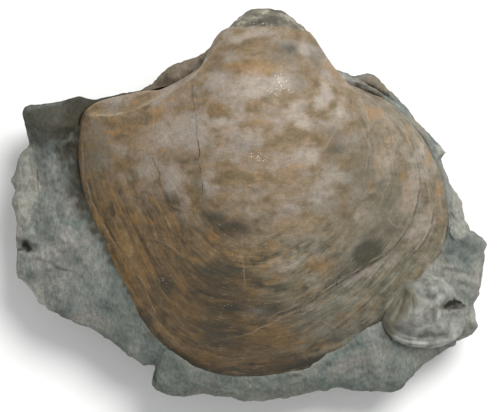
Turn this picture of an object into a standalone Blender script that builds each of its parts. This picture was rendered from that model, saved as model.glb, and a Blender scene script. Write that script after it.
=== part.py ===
"""Fossil shell in its stone: one big domed valve, a small oyster beside its edge, and the broken mudstone
block that holds them both. The shell faces up and its beak points to +Y. Lengths are in metres."""

import math

import bmesh
import bpy
import numpy as np
from mathutils import Vector, noise

# Driving sizes
SHELL_EDGE_HEIGHT = 0.0190  # the valve's rim above the surface that the stone stands on
SHELL_DOME = 0.70  # how much of the coil's rise the squashed valve keeps
SHELL_LIFT = 0.0090  # the steep first rise of the valve just inside its rim
SHELL_EMBED = 0.0010  # how far the valve goes on below its rim, into the stone
SEAT_GAP = 0.0003  # clearance between a shell and its seat in the stone
STONE_CONTACT = 0.0205  # height of the stone where it meets the valve
CONTACT_SCALE = 0.985  # the growth ring that it meets
STONE_RIM = 0.0138  # mean height of the block's outer edge
STONE_RIM_SWAY = 0.0018  # how much higher that edge is on the left than on the right
OYSTER_SEAT = 0.0155  # underside of the small oyster
OYSTER_TILT = 0.13  # how steeply its top climbs on to the valve
OYSTER_RISE = 0.0072  # its own height above that

# How the valve grows: each growth ring is the rim, made smaller, tipped up and moved to the beak
HINGE = (0.0029, 0.0289)  # where the valve's hinge axis crosses its middle
BEAK_SCALE = 0.12  # the smallest ring, as a share of the rim
BEAK_TILT = math.radians(135)
TILT_POWER = 1.5
BEAK_REACH = 0.0137  # how far the beak leans out past the hinge
REACH_POWER = 2.8
BEAK_ASIDE = 0.0006  # how far it leans to the right
BEAK_BREADTH = 0.92  # under 1, young rings are broader for their length
BEAK_BLUNT = 0.0022  # how far the worn tip bulges past the smallest ring
RING_PINCH = 0.34  # how pointed the half-grown rings are
PINCH_RISE = 0.45  # the share of that pinch that lowers their sides too
PINCH_AXIS = -0.0070
PINCH_ROUND = 0.0100
HALF_WIDTH = 0.0450

# The valve's rim seen from above, as offsets from the hinge, from the left corner of the ridge
RIM = (
    (-0.0461, -0.0048),
    (-0.0465, -0.0127),
    (-0.0454, -0.0245),
    (-0.0407, -0.0366),
    (-0.0354, -0.0472),
    (-0.0304, -0.0578),
    (-0.0224, -0.0668),
    (-0.0132, -0.0709),
    (-0.0020, -0.0716),
    (0.0104, -0.0703),
    (0.0190, -0.0658),
    (0.0275, -0.0603),
    (0.0340, -0.0528),
    (0.0412, -0.0455),
    (0.0462, -0.0380),
    (0.0470, -0.0310),
    (0.0458, -0.0225),
    (0.0426, -0.0150),
    (0.0380, -0.0080),
    (0.0322, -0.0026),
    (0.0262, 0.0020),
    (0.0120, 0.0040),
    (-0.0050, 0.0044),
    (-0.0200, 0.0024),
    (-0.0310, 0.0000),
    (-0.0415, -0.0018),
)

# Growth pauses, each a step in the valve: the ring's scale, and how far the older part stands proud
LEDGES = ((0.87, 0.0006), (0.70, 0.0004), (0.56, 0.0005), (0.24, 0.0006))
LEDGE_EDGE = 0.012  # the drop, as a change of scale
LEDGE_RUN = 0.10  # how long the older part takes to swell up to it

# The block's outline seen from above, from its top left corner round past the beak
BLOCK = (
    (-0.0572, 0.0232),
    (-0.0567, 0.0253),
    (-0.0555, 0.0260),
    (-0.0495, 0.0265),
    (-0.0437, 0.0279),
    (-0.0385, 0.0278),
    (-0.0314, 0.0288),
    (-0.0269, 0.0295),
    (-0.0229, 0.0330),
    (-0.0184, 0.0358),
    (-0.0124, 0.0388),
    (-0.0090, 0.0412),
    (-0.0020, 0.0425),
    (0.0090, 0.0415),
    (0.0180, 0.0370),
    (0.0250, 0.0331),
    (0.0280, 0.0331),
    (0.0296, 0.0337),
    (0.0356, 0.0294),
    (0.0380, 0.0270),
    (0.0428, 0.0214),
    (0.0497, 0.0140),
    (0.0484, 0.0123),
    (0.0487, 0.0103),
    (0.0507, 0.0057),
    (0.0524, 0.0022),
    (0.0537, -0.0036),
    (0.0560, -0.0061),
    (0.0587, -0.0073),
    (0.0598, -0.0092),
    (0.0590, -0.0111),
    (0.0585, -0.0156),
    (0.0577, -0.0212),
    (0.0567, -0.0252),
    (0.0572, -0.0297),
    (0.0557, -0.0317),
    (0.0519, -0.0336),
    (0.0518, -0.0348),
    (0.0487, -0.0365),
    (0.0416, -0.0421),
    (0.0374, -0.0456),
    (0.0360, -0.0458),
    (0.0223, -0.0456),
    (0.0132, -0.0471),
    (0.0019, -0.0489),
    (-0.0049, -0.0478),
    (-0.0170, -0.0473),
    (-0.0225, -0.0465),
    (-0.0249, -0.0448),
    (-0.0243, -0.0400),
    (-0.0270, -0.0395),
    (-0.0368, -0.0323),
    (-0.0494, -0.0267),
    (-0.0535, -0.0237),
    (-0.0557, -0.0199),
    (-0.0586, -0.0178),
    (-0.0592, -0.0156),
    (-0.0592, -0.0071),
    (-0.0582, -0.0048),
    (-0.0600, 0.0017),
    (-0.0592, 0.0042),
    (-0.0599, 0.0070),
    (-0.0582, 0.0125),
    (-0.0560, 0.0160),
)

# The stone's rings: share of the outline and of the edge's height, and how broken each one is
STONE_SIDES = ((0.80, 0.0, 0.03), (0.89, 0.20, 0.04), (0.955, 0.55, 0.025))
STONE_TOP = (0.0, 0.05, 0.22, 0.40, 0.58, 0.76, 0.90, 1.0)  # how far in towards the valve each ring lies
STONE_UNDER = 1.30  # the last ring, under the valve
STONE_SLOPE = 0.60  # under 1, the top climbs quickly from the outer edge

# Rises and falls of the stone's top: centre, reach in x and y, and height
STONE_RELIEF = (
    ((-0.0500, 0.0207), (0.0090, 0.0052), 0.0046),  # the dark shoulder at the top left
    ((-0.0110, 0.0340), (0.0110, 0.0075), 0.0100),  # the wedge under the beak
    ((0.0090, 0.0360), (0.0110, 0.0065), 0.0090),  # its other side
    ((0.0325, 0.0320), (0.0055, 0.0036), 0.0056),  # the knob behind the right shoulder
    ((0.0525, -0.0056), (0.0028, 0.0030), 0.0016),  # a worn scrap of shell, as a low disc
    ((-0.0562, -0.0098), (0.0018, 0.0014), -0.0026),  # the pit near the left edge
    ((0.0525, -0.0125), (0.0040, 0.0040), -0.0014),  # the dip above the small oyster
    ((-0.0430, 0.0120), (0.0035, 0.0090), -0.0016),  # the hollow beside the valve's left edge
    ((0.0340, -0.0250), (0.0045, 0.0045), -0.0018),  # the dip where the small oyster meets the valve
)

# The small oyster's edge seen from above, the curled beak that it grew from, and its lumps
OYSTER_EDGE = (
    (0.0320, -0.0284),
    (0.0336, -0.0315),
    (0.0358, -0.0334),
    (0.0388, -0.0343),
    (0.0436, -0.0343),
    (0.0484, -0.0334),
    (0.0512, -0.0311),
    (0.0525, -0.0276),
    (0.0523, -0.0243),
    (0.0508, -0.0221),
    (0.0486, -0.0206),
    (0.0469, -0.0188),
    (0.0446, -0.0173),
    (0.0411, -0.0171),
    (0.0381, -0.0183),
    (0.0359, -0.0208),
    (0.0336, -0.0243),
)
OYSTER_BEAK = (0.0492, -0.0246)
OYSTER_LUMPS = (
    ((0.0450, -0.0200), 0.0022, 0.0013),  # upper lobe
    ((0.0482, -0.0226), 0.0016, 0.0010),  # lobe beside the beak
    ((0.0440, -0.0278), 0.0034, 0.0008),  # swollen middle
)
OYSTER_RIM_RISE = 0.30  # the share of its height that its rim stands up
OYSTER_HOLLOW = 0.0045  # how deep its beak is broken in
OYSTER_CURL = 0.0007  # the spiral fold that runs into the beak

# How finely each piece is cut
RIM_POINTS = 84
RING_COUNT = 18
STONE_STEP = 0.0036
OYSTER_POINTS = 44
OYSTER_RINGS = 9


def closed_curve(corners, count):
    """Evenly spaced points on the smooth closed curve that the corners pull into shape (a B-spline)."""
    corners = np.array(corners)
    total = len(corners)
    t = np.linspace(0, 1, 16, endpoint=False)[:, None]
    pulls = ((1 - t) ** 3, 3 * t**3 - 6 * t**2 + 4, 1 + 3 * t + 3 * t**2 - 3 * t**3, t**3)
    spans = []
    for i in range(total):
        near = corners[[i - 1, i, (i + 1) % total, (i + 2) % total]]
        spans.append(sum(pull * corner for pull, corner in zip(pulls, near)) / 6)
    fine = np.vstack(spans + [spans[0][:1]])
    along = np.concatenate([[0], np.cumsum(np.linalg.norm(np.diff(fine, axis=0), axis=1))])
    wanted = np.linspace(0, along[-1], count, endpoint=False)
    return np.stack([np.interp(wanted, along, fine[:, k]) for k in (0, 1)], -1)


def broken_line(corners, step):
    """The straight-sided outline, with each side cut into pieces about one step long."""
    corners = np.array(corners)
    sides = []
    for here, there in zip(corners, np.roll(corners, -1, axis=0)):
        pieces = max(1, round(np.linalg.norm(there - here) / step))
        sides.append(here + (there - here) * np.linspace(0, 1, pieces, endpoint=False)[:, None])
    return np.vstack(sides)


def growth_ring(rim, scale):
    """The valve's edge when it was this share of its full size, as 3-D points."""
    age = (1 - scale) / (1 - BEAK_SCALE)
    tilt = BEAK_TILT * age**TILT_POWER
    aside = np.hypot(rim[:, 0] - PINCH_AXIS, PINCH_ROUND) - PINCH_ROUND
    pinch = RING_PINCH * math.sin(math.pi * age**0.75) * aside / HALF_WIDTH
    reach = rim[:, 1] * (1 - pinch) * scale
    climb = rim[:, 1] * (1 - pinch * PINCH_RISE) * scale
    across = HINGE[0] + rim[:, 0] * scale**BEAK_BREADTH + BEAK_ASIDE * age**2
    forward = HINGE[1] + reach * math.cos(tilt) + BEAK_REACH * age**REACH_POWER
    rise = SHELL_LIFT * (1 - scale**3) ** 0.6 - climb * math.sin(tilt) * SHELL_DOME
    return np.stack([across, forward, SHELL_EDGE_HEIGHT + rise], -1)


def ledge_height(scale):
    """How far growth pauses make the valve stand proud at this ring."""
    height = 0.0
    for at, step in LEDGES:
        behind = (at - scale) / LEDGE_RUN
        if 0 <= behind < 1:
            height += step * (1 - behind) ** 2
    return height


def ring_scales():
    """The rings to cut: evenly aged ones, and a close pair at each ledge."""
    scales = 1 - (1 - BEAK_SCALE) * np.linspace(0, 1, RING_COUNT) ** 0.9
    at = np.array([ledge[0] for ledge in LEDGES])
    clear = np.abs(scales[:, None] - at).min(axis=1) > LEDGE_EDGE
    return sorted([*scales[clear], *at, *(at + LEDGE_EDGE)], reverse=True)


def valve_rings(swell):
    """All rings from the rim to the beak, pushed out by the ledges and by the swell."""
    rim = closed_curve(RIM, RIM_POINTS)
    nearby = 0.004
    rings = []
    for scale in ring_scales():
        here = growth_ring(rim, scale)
        older = growth_ring(rim, scale - nearby)
        younger = growth_ring(rim, min(scale + nearby, 1.0))
        along = np.roll(here, -1, axis=0) - np.roll(here, 1, axis=0)
        outward = np.cross(along, older - younger)
        outward /= np.linalg.norm(outward, axis=1)[:, None]
        rings.append(here + outward * (ledge_height(scale) + swell))
    return rings


def blunt_tip(rings, bulge):
    """Two more rings that round off the end of the last one."""
    end = rings[-1]
    middle = end.mean(axis=0)
    onward = middle - rings[-2].mean(axis=0)
    onward /= np.linalg.norm(onward)
    return [middle + (end - middle) * k + onward * bulge * math.sqrt(1 - k * k) for k in (0.85, 0.5)]


def skin(name, rings):
    """A closed solid over rings of equal count: a flat foot, bands between neighbours, and a fan at the end."""
    shape = bmesh.new()
    loops = [[shape.verts.new(point) for point in ring] for ring in rings]
    shape.faces.new(list(reversed(loops[0])))
    for low, high in zip(loops, loops[1:]):
        for i in range(len(low)):
            shape.faces.new((low[i - 1], low[i], high[i], high[i - 1]))
    tip = shape.verts.new(rings[-1].mean(axis=0))
    for i in range(len(loops[-1])):
        shape.faces.new((loops[-1][i - 1], loops[-1][i], tip))
    bmesh.ops.recalc_face_normals(shape, faces=shape.faces)
    mesh = bpy.data.meshes.new(name)
    shape.to_mesh(mesh)
    shape.free()
    piece = bpy.data.objects.new(name, mesh)
    bpy.context.collection.objects.link(piece)
    return piece


def make_valve(name, swell=0.0):
    """The big valve with its filling, flat beneath where it sits in the stone."""
    rings = valve_rings(swell)
    foot = rings[0].copy()
    foot[:, 2] = SHELL_EDGE_HEIGHT - SHELL_EMBED - swell
    return skin(name, [foot] + rings + blunt_tip(rings, BEAK_BLUNT + swell))


def bearing(points, centre=(0.0, 0.0)):
    return np.arctan2(points[:, 1] - centre[1], points[:, 0] - centre[0])


def same_bearing(line, points):
    """For each point, the point of the closed line that lies in the same direction from the origin."""
    order = np.argsort(bearing(line))
    radius = np.hypot(line[:, 0], line[:, 1])[order]
    found = np.interp(bearing(points), bearing(line)[order], radius, period=2 * math.pi)
    return found[:, None] * points / np.hypot(points[:, 0], points[:, 1])[:, None]


def mound(points, centre, reach, height):
    """A rounded rise, or a hollow where height is negative."""
    away = ((points[:, 0] - centre[0]) / reach[0]) ** 2 + ((points[:, 1] - centre[1]) / reach[1]) ** 2
    return height * np.exp(-away)


def roughness(points, grain, depth, seed):
    """Uneven heights from a noise field of this grain."""
    return depth * np.array([noise.noise(Vector((x / grain, y / grain, seed))) for x, y in points])


def stone_rings():
    """Rings of the block, from its flat foot, round its widest edge, to under the valve."""
    edge = broken_line(BLOCK, STONE_STEP)
    contact = same_bearing(growth_ring(closed_curve(RIM, len(edge)), CONTACT_SCALE), edge)
    rim_height = STONE_RIM - STONE_RIM_SWAY * np.cos(bearing(edge)) + roughness(edge, 0.012, 0.0016, 3.0)
    rim_height += np.maximum(edge[:, 1] - HINGE[1], 0) * 0.35
    rings = []
    for share, height_share, broken in STONE_SIDES:
        level = edge * (share + roughness(edge, 0.010, broken, share * 50))[:, None]
        rings.append(np.column_stack([level, rim_height * height_share]))
    for inward in STONE_TOP:
        level = edge + (contact - edge) * inward
        climb = min(inward, 1.0) ** STONE_SLOPE
        height = rim_height + (STONE_CONTACT - rim_height) * climb + roughness(level, 0.006, 0.0012, 7.0)
        for centre, reach, rise in STONE_RELIEF:
            height += mound(level, centre, reach, rise)
        rings.append(np.column_stack([level, height]))
    under = edge + (contact - edge) * STONE_UNDER
    rings.append(np.column_stack([under, np.full(len(edge), SHELL_EDGE_HEIGHT)]))
    return rings


def make_oyster(name, swell=0.0):
    """The small oyster: low rings that grow from its curled beak, with lumps and a hollow at the beak."""
    edge = closed_curve(OYSTER_EDGE, OYSTER_POINTS)
    outward = edge - edge.mean(axis=0)
    edge = edge + outward / np.linalg.norm(outward, axis=1)[:, None] * swell
    beak = np.array(OYSTER_BEAK)
    rings = [np.column_stack([edge, np.full(len(edge), OYSTER_SEAT - swell)])]
    for scale in np.linspace(1, 0.14, OYSTER_RINGS):
        level = beak + (edge - beak) * scale
        height = OYSTER_RISE * (OYSTER_RIM_RISE + (1 - OYSTER_RIM_RISE) * (1 - scale**3) ** 0.6)
        fold = OYSTER_CURL * (1 - scale) * np.cos(bearing(level, OYSTER_BEAK) - 5.0 * scale)
        height = height + fold + roughness(level, 0.004, 0.0007, 21.0)
        height += OYSTER_TILT * (edge[:, 0].max() - level[:, 0])
        height -= OYSTER_HOLLOW * math.exp(-((scale / 0.22) ** 2))
        for centre, reach, lump in OYSTER_LUMPS:
            height += mound(level, centre, (reach, reach), lump) * min(1, (1 - scale) * 4)
        rings.append(np.column_stack([level, OYSTER_SEAT + height + swell]))
    return skin(name, rings)


def cut_seat(piece, helper):
    """Cuts the helper's shape out of the piece. The helper itself isn't part of the object."""
    helper.hide_render = True
    helper.display_type = "WIRE"
    cut = piece.modifiers.new(helper.name, "BOOLEAN")
    cut.operation = "DIFFERENCE"
    cut.solver = "EXACT"
    cut.object = helper


def paint(piece, name, colour, rough):
    """One plain finish, from the piece's average colour."""
    finish = bpy.data.materials.new(name)
    finish.use_nodes = True
    shader = finish.node_tree.nodes["Principled BSDF"]
    shader.inputs["Base Color"].default_value = (*colour, 1)
    shader.inputs["Roughness"].default_value = rough
    shader.inputs["Metallic"].default_value = 0
    piece.data.materials.append(finish)


def main():
    for old in list(bpy.data.objects):
        bpy.data.objects.remove(old)
    shell = make_valve("large_shell")
    oyster = make_oyster("small_oyster")
    stone = skin("mudstone_matrix", stone_rings())
    shell_seat = make_valve("shell_seat", SEAT_GAP)
    cut_seat(oyster, shell_seat)
    cut_seat(stone, shell_seat)
    cut_seat(stone, make_oyster("oyster_seat", SEAT_GAP))
    paint(shell, "worn shell", (0.27, 0.21, 0.15), 0.45)
    paint(oyster, "pale oyster shell", (0.33, 0.30, 0.26), 0.55)
    paint(stone, "grey mudstone", (0.22, 0.23, 0.21), 0.85)


main()
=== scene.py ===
"""Fossil shell in its stone: a big domed bivalve valve with growth ledges and a hooked beak, a small
crumpled oyster beside its edge, and the broken mudstone block that holds both, on a pale studio floor.
Lengths are in metres unless a name or comment says millimetres."""

import math

import bpy
import numpy as np
from bpy.props import FloatProperty, FloatVectorProperty, PointerProperty
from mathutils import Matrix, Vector, noise
from mathutils.kdtree import KDTree


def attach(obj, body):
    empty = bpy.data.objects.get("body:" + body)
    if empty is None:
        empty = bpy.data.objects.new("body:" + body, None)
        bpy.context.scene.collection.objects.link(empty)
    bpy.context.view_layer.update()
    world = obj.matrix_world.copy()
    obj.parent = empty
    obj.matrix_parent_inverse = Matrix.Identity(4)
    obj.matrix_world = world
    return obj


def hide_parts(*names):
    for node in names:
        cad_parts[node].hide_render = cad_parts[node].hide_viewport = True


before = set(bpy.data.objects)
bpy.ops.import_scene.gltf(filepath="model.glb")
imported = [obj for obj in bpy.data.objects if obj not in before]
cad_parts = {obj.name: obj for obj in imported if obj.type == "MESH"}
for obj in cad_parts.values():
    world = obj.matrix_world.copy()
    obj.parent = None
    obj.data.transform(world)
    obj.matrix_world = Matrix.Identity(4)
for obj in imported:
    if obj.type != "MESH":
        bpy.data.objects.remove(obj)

bl_info = {
    "name": "Fossil Shell in Mudstone",
    "version": (1, 0, 0),
    "blender": (4, 5, 0),
    "location": "View3D > Sidebar > Fossil",
    "description": "Builds a fossil valve and a small oyster in a broken block of mudstone",
    "category": "Add Mesh",
}

MM = 0.001

# How the valve grows, as in the solid: each ring is the rim, made smaller, tipped up and moved to the beak
SHELL_EDGE_HEIGHT = 0.0190  # the valve's rim above the floor
SHELL_EMBED = 0.0010  # how far the valve goes on below its rim, into the stone
SHELL_DOME = 0.70  # how high the rings rise as they tip up
SHELL_LIFT = 0.0090  # the steep first rise just inside the rim
HINGE = (0.0029, 0.0289)
BEAK_SCALE = 0.12  # the smallest ring, as a share of the rim
BEAK_TILT = math.radians(135)  # how far the smallest ring is tipped up
TILT_POWER = 1.5
BEAK_REACH = 0.0137  # how far the beak leans out past the hinge
REACH_POWER = 2.8
BEAK_ASIDE = 0.0006  # how far it leans to the right
BEAK_BREADTH = 0.92  # under 1, young rings are broader for their length
BEAK_BLUNT = 0.0022  # how far the worn tip bulges past the smallest ring
RING_PINCH = 0.34  # how much the middle rings draw in beside their axis
PINCH_RISE = 0.45
PINCH_AXIS = -0.0070
PINCH_ROUND = 0.0100
HALF_WIDTH = 0.0450
TIP_REACH = (0.0340, 0.0470)  # the beak's tip broadens between these, seen from above
TIP_MIDDLE = 0.0030
TIP_ROUND = 0.0035
TIP_BROADER = 0.0016
TIP_LONGER = 0.0005
GROWTH_ROOT = np.array([0.0020, 0.0295])  # where the growth lines spread from, seen from above
EDGE_SHADOW_REACH = 0.0010  # reach of the painted shadow along the valve's edge, where it meets the stone
VALVE_AROUND, VALVE_RINGS, TIP_RINGS = 400, 232, 12  # points round the valve, its rings and its tip's rings

# The valve's rim from above, in millimetres from the hinge, from the left corner of the ridge
RIM = (
    (-46.1, -4.8), (-46.5, -12.7), (-45.4, -24.5), (-40.7, -36.6), (-35.4, -47.2), (-30.4, -57.8),
    (-22.4, -66.8), (-13.2, -70.9), (-2, -71.6), (10.4, -70.3), (19, -65.8), (27.5, -60.3), (34, -52.8),
    (41.2, -45.5), (46.2, -38), (47, -31), (45.8, -22.5), (42.6, -15), (38, -8), (32.2, -2.6), (26.2, 2),
    (12, 4), (-5, 4.4), (-20, 2.4), (-31, 0), (-41.5, -1.8),
)

# Growth pauses as lines seen from above, in millimetres: step, run behind it, and the line, beak on its left
PAUSES = (
    (0.5, 6, ((0.6, -28.4), (6, -26.9), (12.2, -24), (17.2, -21.5), (21.4, -18.8), (25.1, -16.6),
     (28.9, -14.2), (32.9, -12), (36.4, -8.7), (39.1, -5), (40.8, -1), (41.8, 3.2), (41.8, 8.1),
     (40.8, 13.1), (39.3, 17.3), (37.2, 22.3))), (0.14, 7, ((-34.9, 16.1), (-31.8, 9.9), (-29.1, 5.1),
     (-24.8, 0), (-19, -6.2), (-12.4, -12.1), (-6.2, -16.5), (-0.1, -18.4), (6, -17.2), (12.1, -13.3),
     (17.1, -9.6), (22, -5), (25.7, -0.5), (27.9, 5.1), (28.9, 11.7), (28.4, 17.9), (26.9, 23.5),
     (24.4, 28.4))), (0.42, 4, ((-20.3, 1.2), (-18.3, -0.5), (-14.3, -0.8), (-11.3, -2), (-8.4, -3.7),
     (-5.5, -5.9))),
    (0.42, 3, ((-25.9, -7.5), (-22.3, -8.4), (-19.8, -9.9), (-17.3, -11.9), (-14.4, -13.3))),
    (0.35, 3, ((39.3, -13), (43.3, -8.5), (45, -5), (45.7, -0.5), (45.2, 5.4), (43.1, 10.9), (42.1, 14.4))),
    (0.25, 3, ((-39.5, 9.4), (-38, 3.2), (-35.5, -4.3), (-31.5, -11.8), (-26.3, -19.7), (-21.3, -25.9),
     (-16.3, -31.1), (-11.3, -35.4))), (0.2, 4, ((-8, -38.5), (0, -37.5), (8, -36.5), (15, -33.5),
     (22, -29.5), (28, -24.5), (34, -19.5))),
)

# Cracks from above: strength, and the line in millimetres
CRACKS = (
    (1.2, ((-14.4, 31.9), (-14.4, 29.4), (-14.1, 26.4), (-13.3, 23.4), (-13.1, 21), (-13.1, 17.8),
     (-12.6, 14.1), (-12.8, 11.2), (-12.1, 8.5), (-11.8, 5.6), (-11.6, 2.6), (-11.3, 0.4))),
    (0.6, ((-24.7, 14.2), (-24, 11), (-22.7, 8.8), (-22.2, 6.1), (-21.5, 3.6))),
    (1.5, ((22.4, -16.5), (21.4, -17.8), (21, -19.6))), (0.8, ((17.2, -11.4), (18.8, -10.1), (20.6, -9.2))),
    (0.7, ((21.1, -18.1), (18.4, -19.8), (16.2, -21.8), (14.2, -22.8), (11.7, -24))),
    (0.7, ((13.2, -26.3), (15.2, -25), (17.7, -23.6), (20.9, -21.6))),
    (0.8, ((0.4, -29.2), (2.8, -27.7), (5.3, -26.7))),
    (0.7, ((-38, 25.6), (-34.4, 26.1), (-31.2, 26.5), (-27.9, 27.5), (-24.9, 28.5))),
    (0.6, ((-35.9, 24.3), (-31.9, 24.8), (-27.4, 26), (-24.4, 27.1))),
    (0.9, ((-22.9, 29.7), (-19.4, 30.6), (-16.1, 31.5), (-14.1, 32.2))), (0.9, ((-17.3, 0.7), (-14.8, -0.5),
     (-12.3, -1.3), (-9.9, -2.2), (-7.9, -3.5), (-6.9, -4.4))),
)
# Fine pale veins, the same way
VEINS = (
    (0.5, ((-23.6, 26.6), (-24, 21.6), (-24, 16.7), (-23.5, 11.8), (-22.7, 6.8))),
    (0.3, ((-7, 33.2), (-6.5, 27.5), (-5.5, 23.8), (-4.5, 20.1))),
    (0.6, ((22.7, 28.9), (23.1, 24), (21.9, 21), (20.2, 18.3), (18.4, 15.1), (16.9, 12.4))),
    (0.8, ((24.3, 30.2), (26.5, 28.6), (27.4, 26.5), (28.4, 24), (28.9, 21.6), (29.3, 14.9), (28.1, 8.5))),
    (0.5, ((28, 29), (29.4, 27), (30.2, 24.1), (30.6, 20.6))), (0.6, ((33.2, 24.8), (34.5, 20.4),
     (35.1, 16.7), (35.4, 12.8), (34.9, 8.6), (32.7, 2.7), (30.5, -1))), (0.9, ((40.4, 18.6), (42.1, 16.4),
     (43.4, 13.6), (43.6, 9.4), (43.8, 5.2), (45.2, 0.2), (44.7, -3), (44, -6.3), (40.5, -11.3))),
    (0.6, ((17, 10), (16.2, 7.3), (15.7, 4.3), (15.3, -1.3))),
    (0.9, ((33.8, -2.5), (34.8, -4), (36.3, -4.8), (38.4, -4.5))),
    (0.7, ((-2.1, -6.1), (-2.1, -9.1), (-2.1, -12.7), (-1.6, -16.7), (-1.3, -20.9))),
    (0.5, ((11.4, -9.8), (14.6, -8.4), (17, -7.2), (21.3, -5.9))),
    (0.6, ((17.3, -27.9), (20.3, -29.7), (24.1, -31.3))), (0.8, ((-5.1, -32), (-2.3, -31.7), (0.6, -30.9),
     (3.6, -29.4), (6.5, -27.7), (12.2, -25.2))), (0.6, ((-35.1, -13.8), (-31.6, -18.5), (-27.6, -23),
     (-24.3, -27.2), (-20.8, -31.2), (-15.8, -36.2))), (1, ((-41.6, 22.4), (-42.1, 18.4), (-42.1, 14.4),
     (-41.6, 9.4), (-40.9, 5.2), (-39.4, 0.9), (-37.6, -3), (-35.6, -6.5), (-33.3, -9.8), (-30, -14.3),
     (-26.8, -18.7), (-24.8, -23.7), (-23.1, -28.5))),
    (0.6, ((36.1, -8), (34.2, -10.5), (29.6, -13.4), (22.1, -17.9), (17.2, -20.8))),
    (0.6, ((42.3, -13.5), (39.8, -15), (36.3, -18), (32.3, -21))),
    (0.6, ((4.7, 2.4), (8.2, 3.1), (12.1, 3.6), (15, 3.6))),
    (0.5, ((12.8, 35.7), (13.3, 31.2), (14, 27.3))),
)

# The sharp ridge at the valve's left shoulder, the groove beyond it and the worn cap's edge, in millimetres
RIDGE = (
    (-41.8, 23.2), (-37.4, 22.8), (-33.1, 23), (-27.3, 24.9), (-20.6, 28.3), (-13.2, 32.6), (-10.4, 37.2),
    (-7, 41.4), (-2.6, 44.1),
)
GROOVE = (
    (-17.4, 30.5), (-14.1, 32.4), (-11.6, 36.5), (-9, 40.4), (-7, 43),
)
CAP_EDGE = (
    (-9, 41.5), (-6, 42.6), (-3.8, 43.7), (-1.1, 43.8), (2.3, 44.1), (4.8, 44.1), (7.7, 43.9), (10.2, 43.4),
    (14, 43),
)

# Patches on the valve in millimetres: centre x and y, reach along and across, turn in degrees, strength
LILAC = (
    (-14.5, 17.8, 5.5, 3.4, -10, 1.1), (-19.5, 7.5, 4, 3, -35, 0.9), (40, 4, 3, 6, -8, 0.65),
    (27.5, -0.5, 4, 4, 0, 0.6), (17.5, 27, 1.8, 3.5, -12, 1), (14.5, 12.5, 2.5, 3, 0, 0.9),
    (2, 28, 6, 1.6, 0, 0.9), (42, -5, 2.6, 5, -20, 0.65), (34, 13, 2.6, 6, -15, 0.55),
    (-6.4, 42.6, 1.6, 1, 20, 0.9), (10.4, 11, 4, 3, 10, 0.3), (9, -12.8, 6, 2.5, 10, 0.4),
    (2, -26, 3.5, 1.3, 8, 0.55), (-24.5, 11, 5, 3.5, -40, 0.6), (-9.1, 20.9, 4.9, 1.2, -15, 1),
    (-17.8, 20, 2, 1.5, 0, 0.7), (-20.5, 16.4, 2.2, 2, 0, 0.8), (-6, 12.8, 3.9, 1.7, 0, 0.45),
    (-0.6, 17.2, 1.7, 1.5, 0, 0.7), (-25.8, 8.8, 3.5, 3, -40, 0.9), (-16.3, 2.2, 2.2, 2, -30, 0.8),
    (-10.3, 6.8, 1.5, 2.7, 0, 0.6), (-15.8, 8.3, 2.4, 1.7, 0, 0.5), (2.8, 15, 2.2, 1.2, 0, 0.3),
    (5, 18.7, 1.9, 1.2, 0, 0.3), (-8.9, 30.7, 2.4, 2.2, 0, 0.9), (-1.3, 41.8, 4.7, 1.2, 5, 0.8),
    (13.6, 39, 1.2, 2.2, 20, 0.9), (-0.1, 30.6, 4.1, 1.9, 0, 0.7), (7.4, 30.2, 2.4, 2.9, 0, 0.7),
    (11.6, 24.3, 2.9, 1.2, 35, 0.7), (22.4, 23.9, 1.2, 3.2, -10, 0.7), (17, 30.8, 1, 3.4, -12, 0.5),
    (11.8, 20.6, 1.5, 1.9, 0, 0.8), (13, 13.1, 2.2, 1.9, 0, 0.7), (18.4, 6.3, 3.4, 3.7, 0, 0.7),
    (26.5, -1.5, 2.2, 2.2, 0, 0.7), (16, 2.4, 1.2, 2.2, 0, 0.5), (6, 10.4, 3.9, 1.2, 0, 0.35),
    (42.1, 14.4, 1, 4.2, -14, 0.7), (27.7, -16.4, 6.7, 1, 27, 0.7), (-32.1, 13.8, 1.2, 3, -20, 0.35),
    (-2.6, 23.8, 3.9, 1.2, 0, 0.4), (-6.2, 26.2, 3.4, 1.5, 0, 0.4),
)
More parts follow.
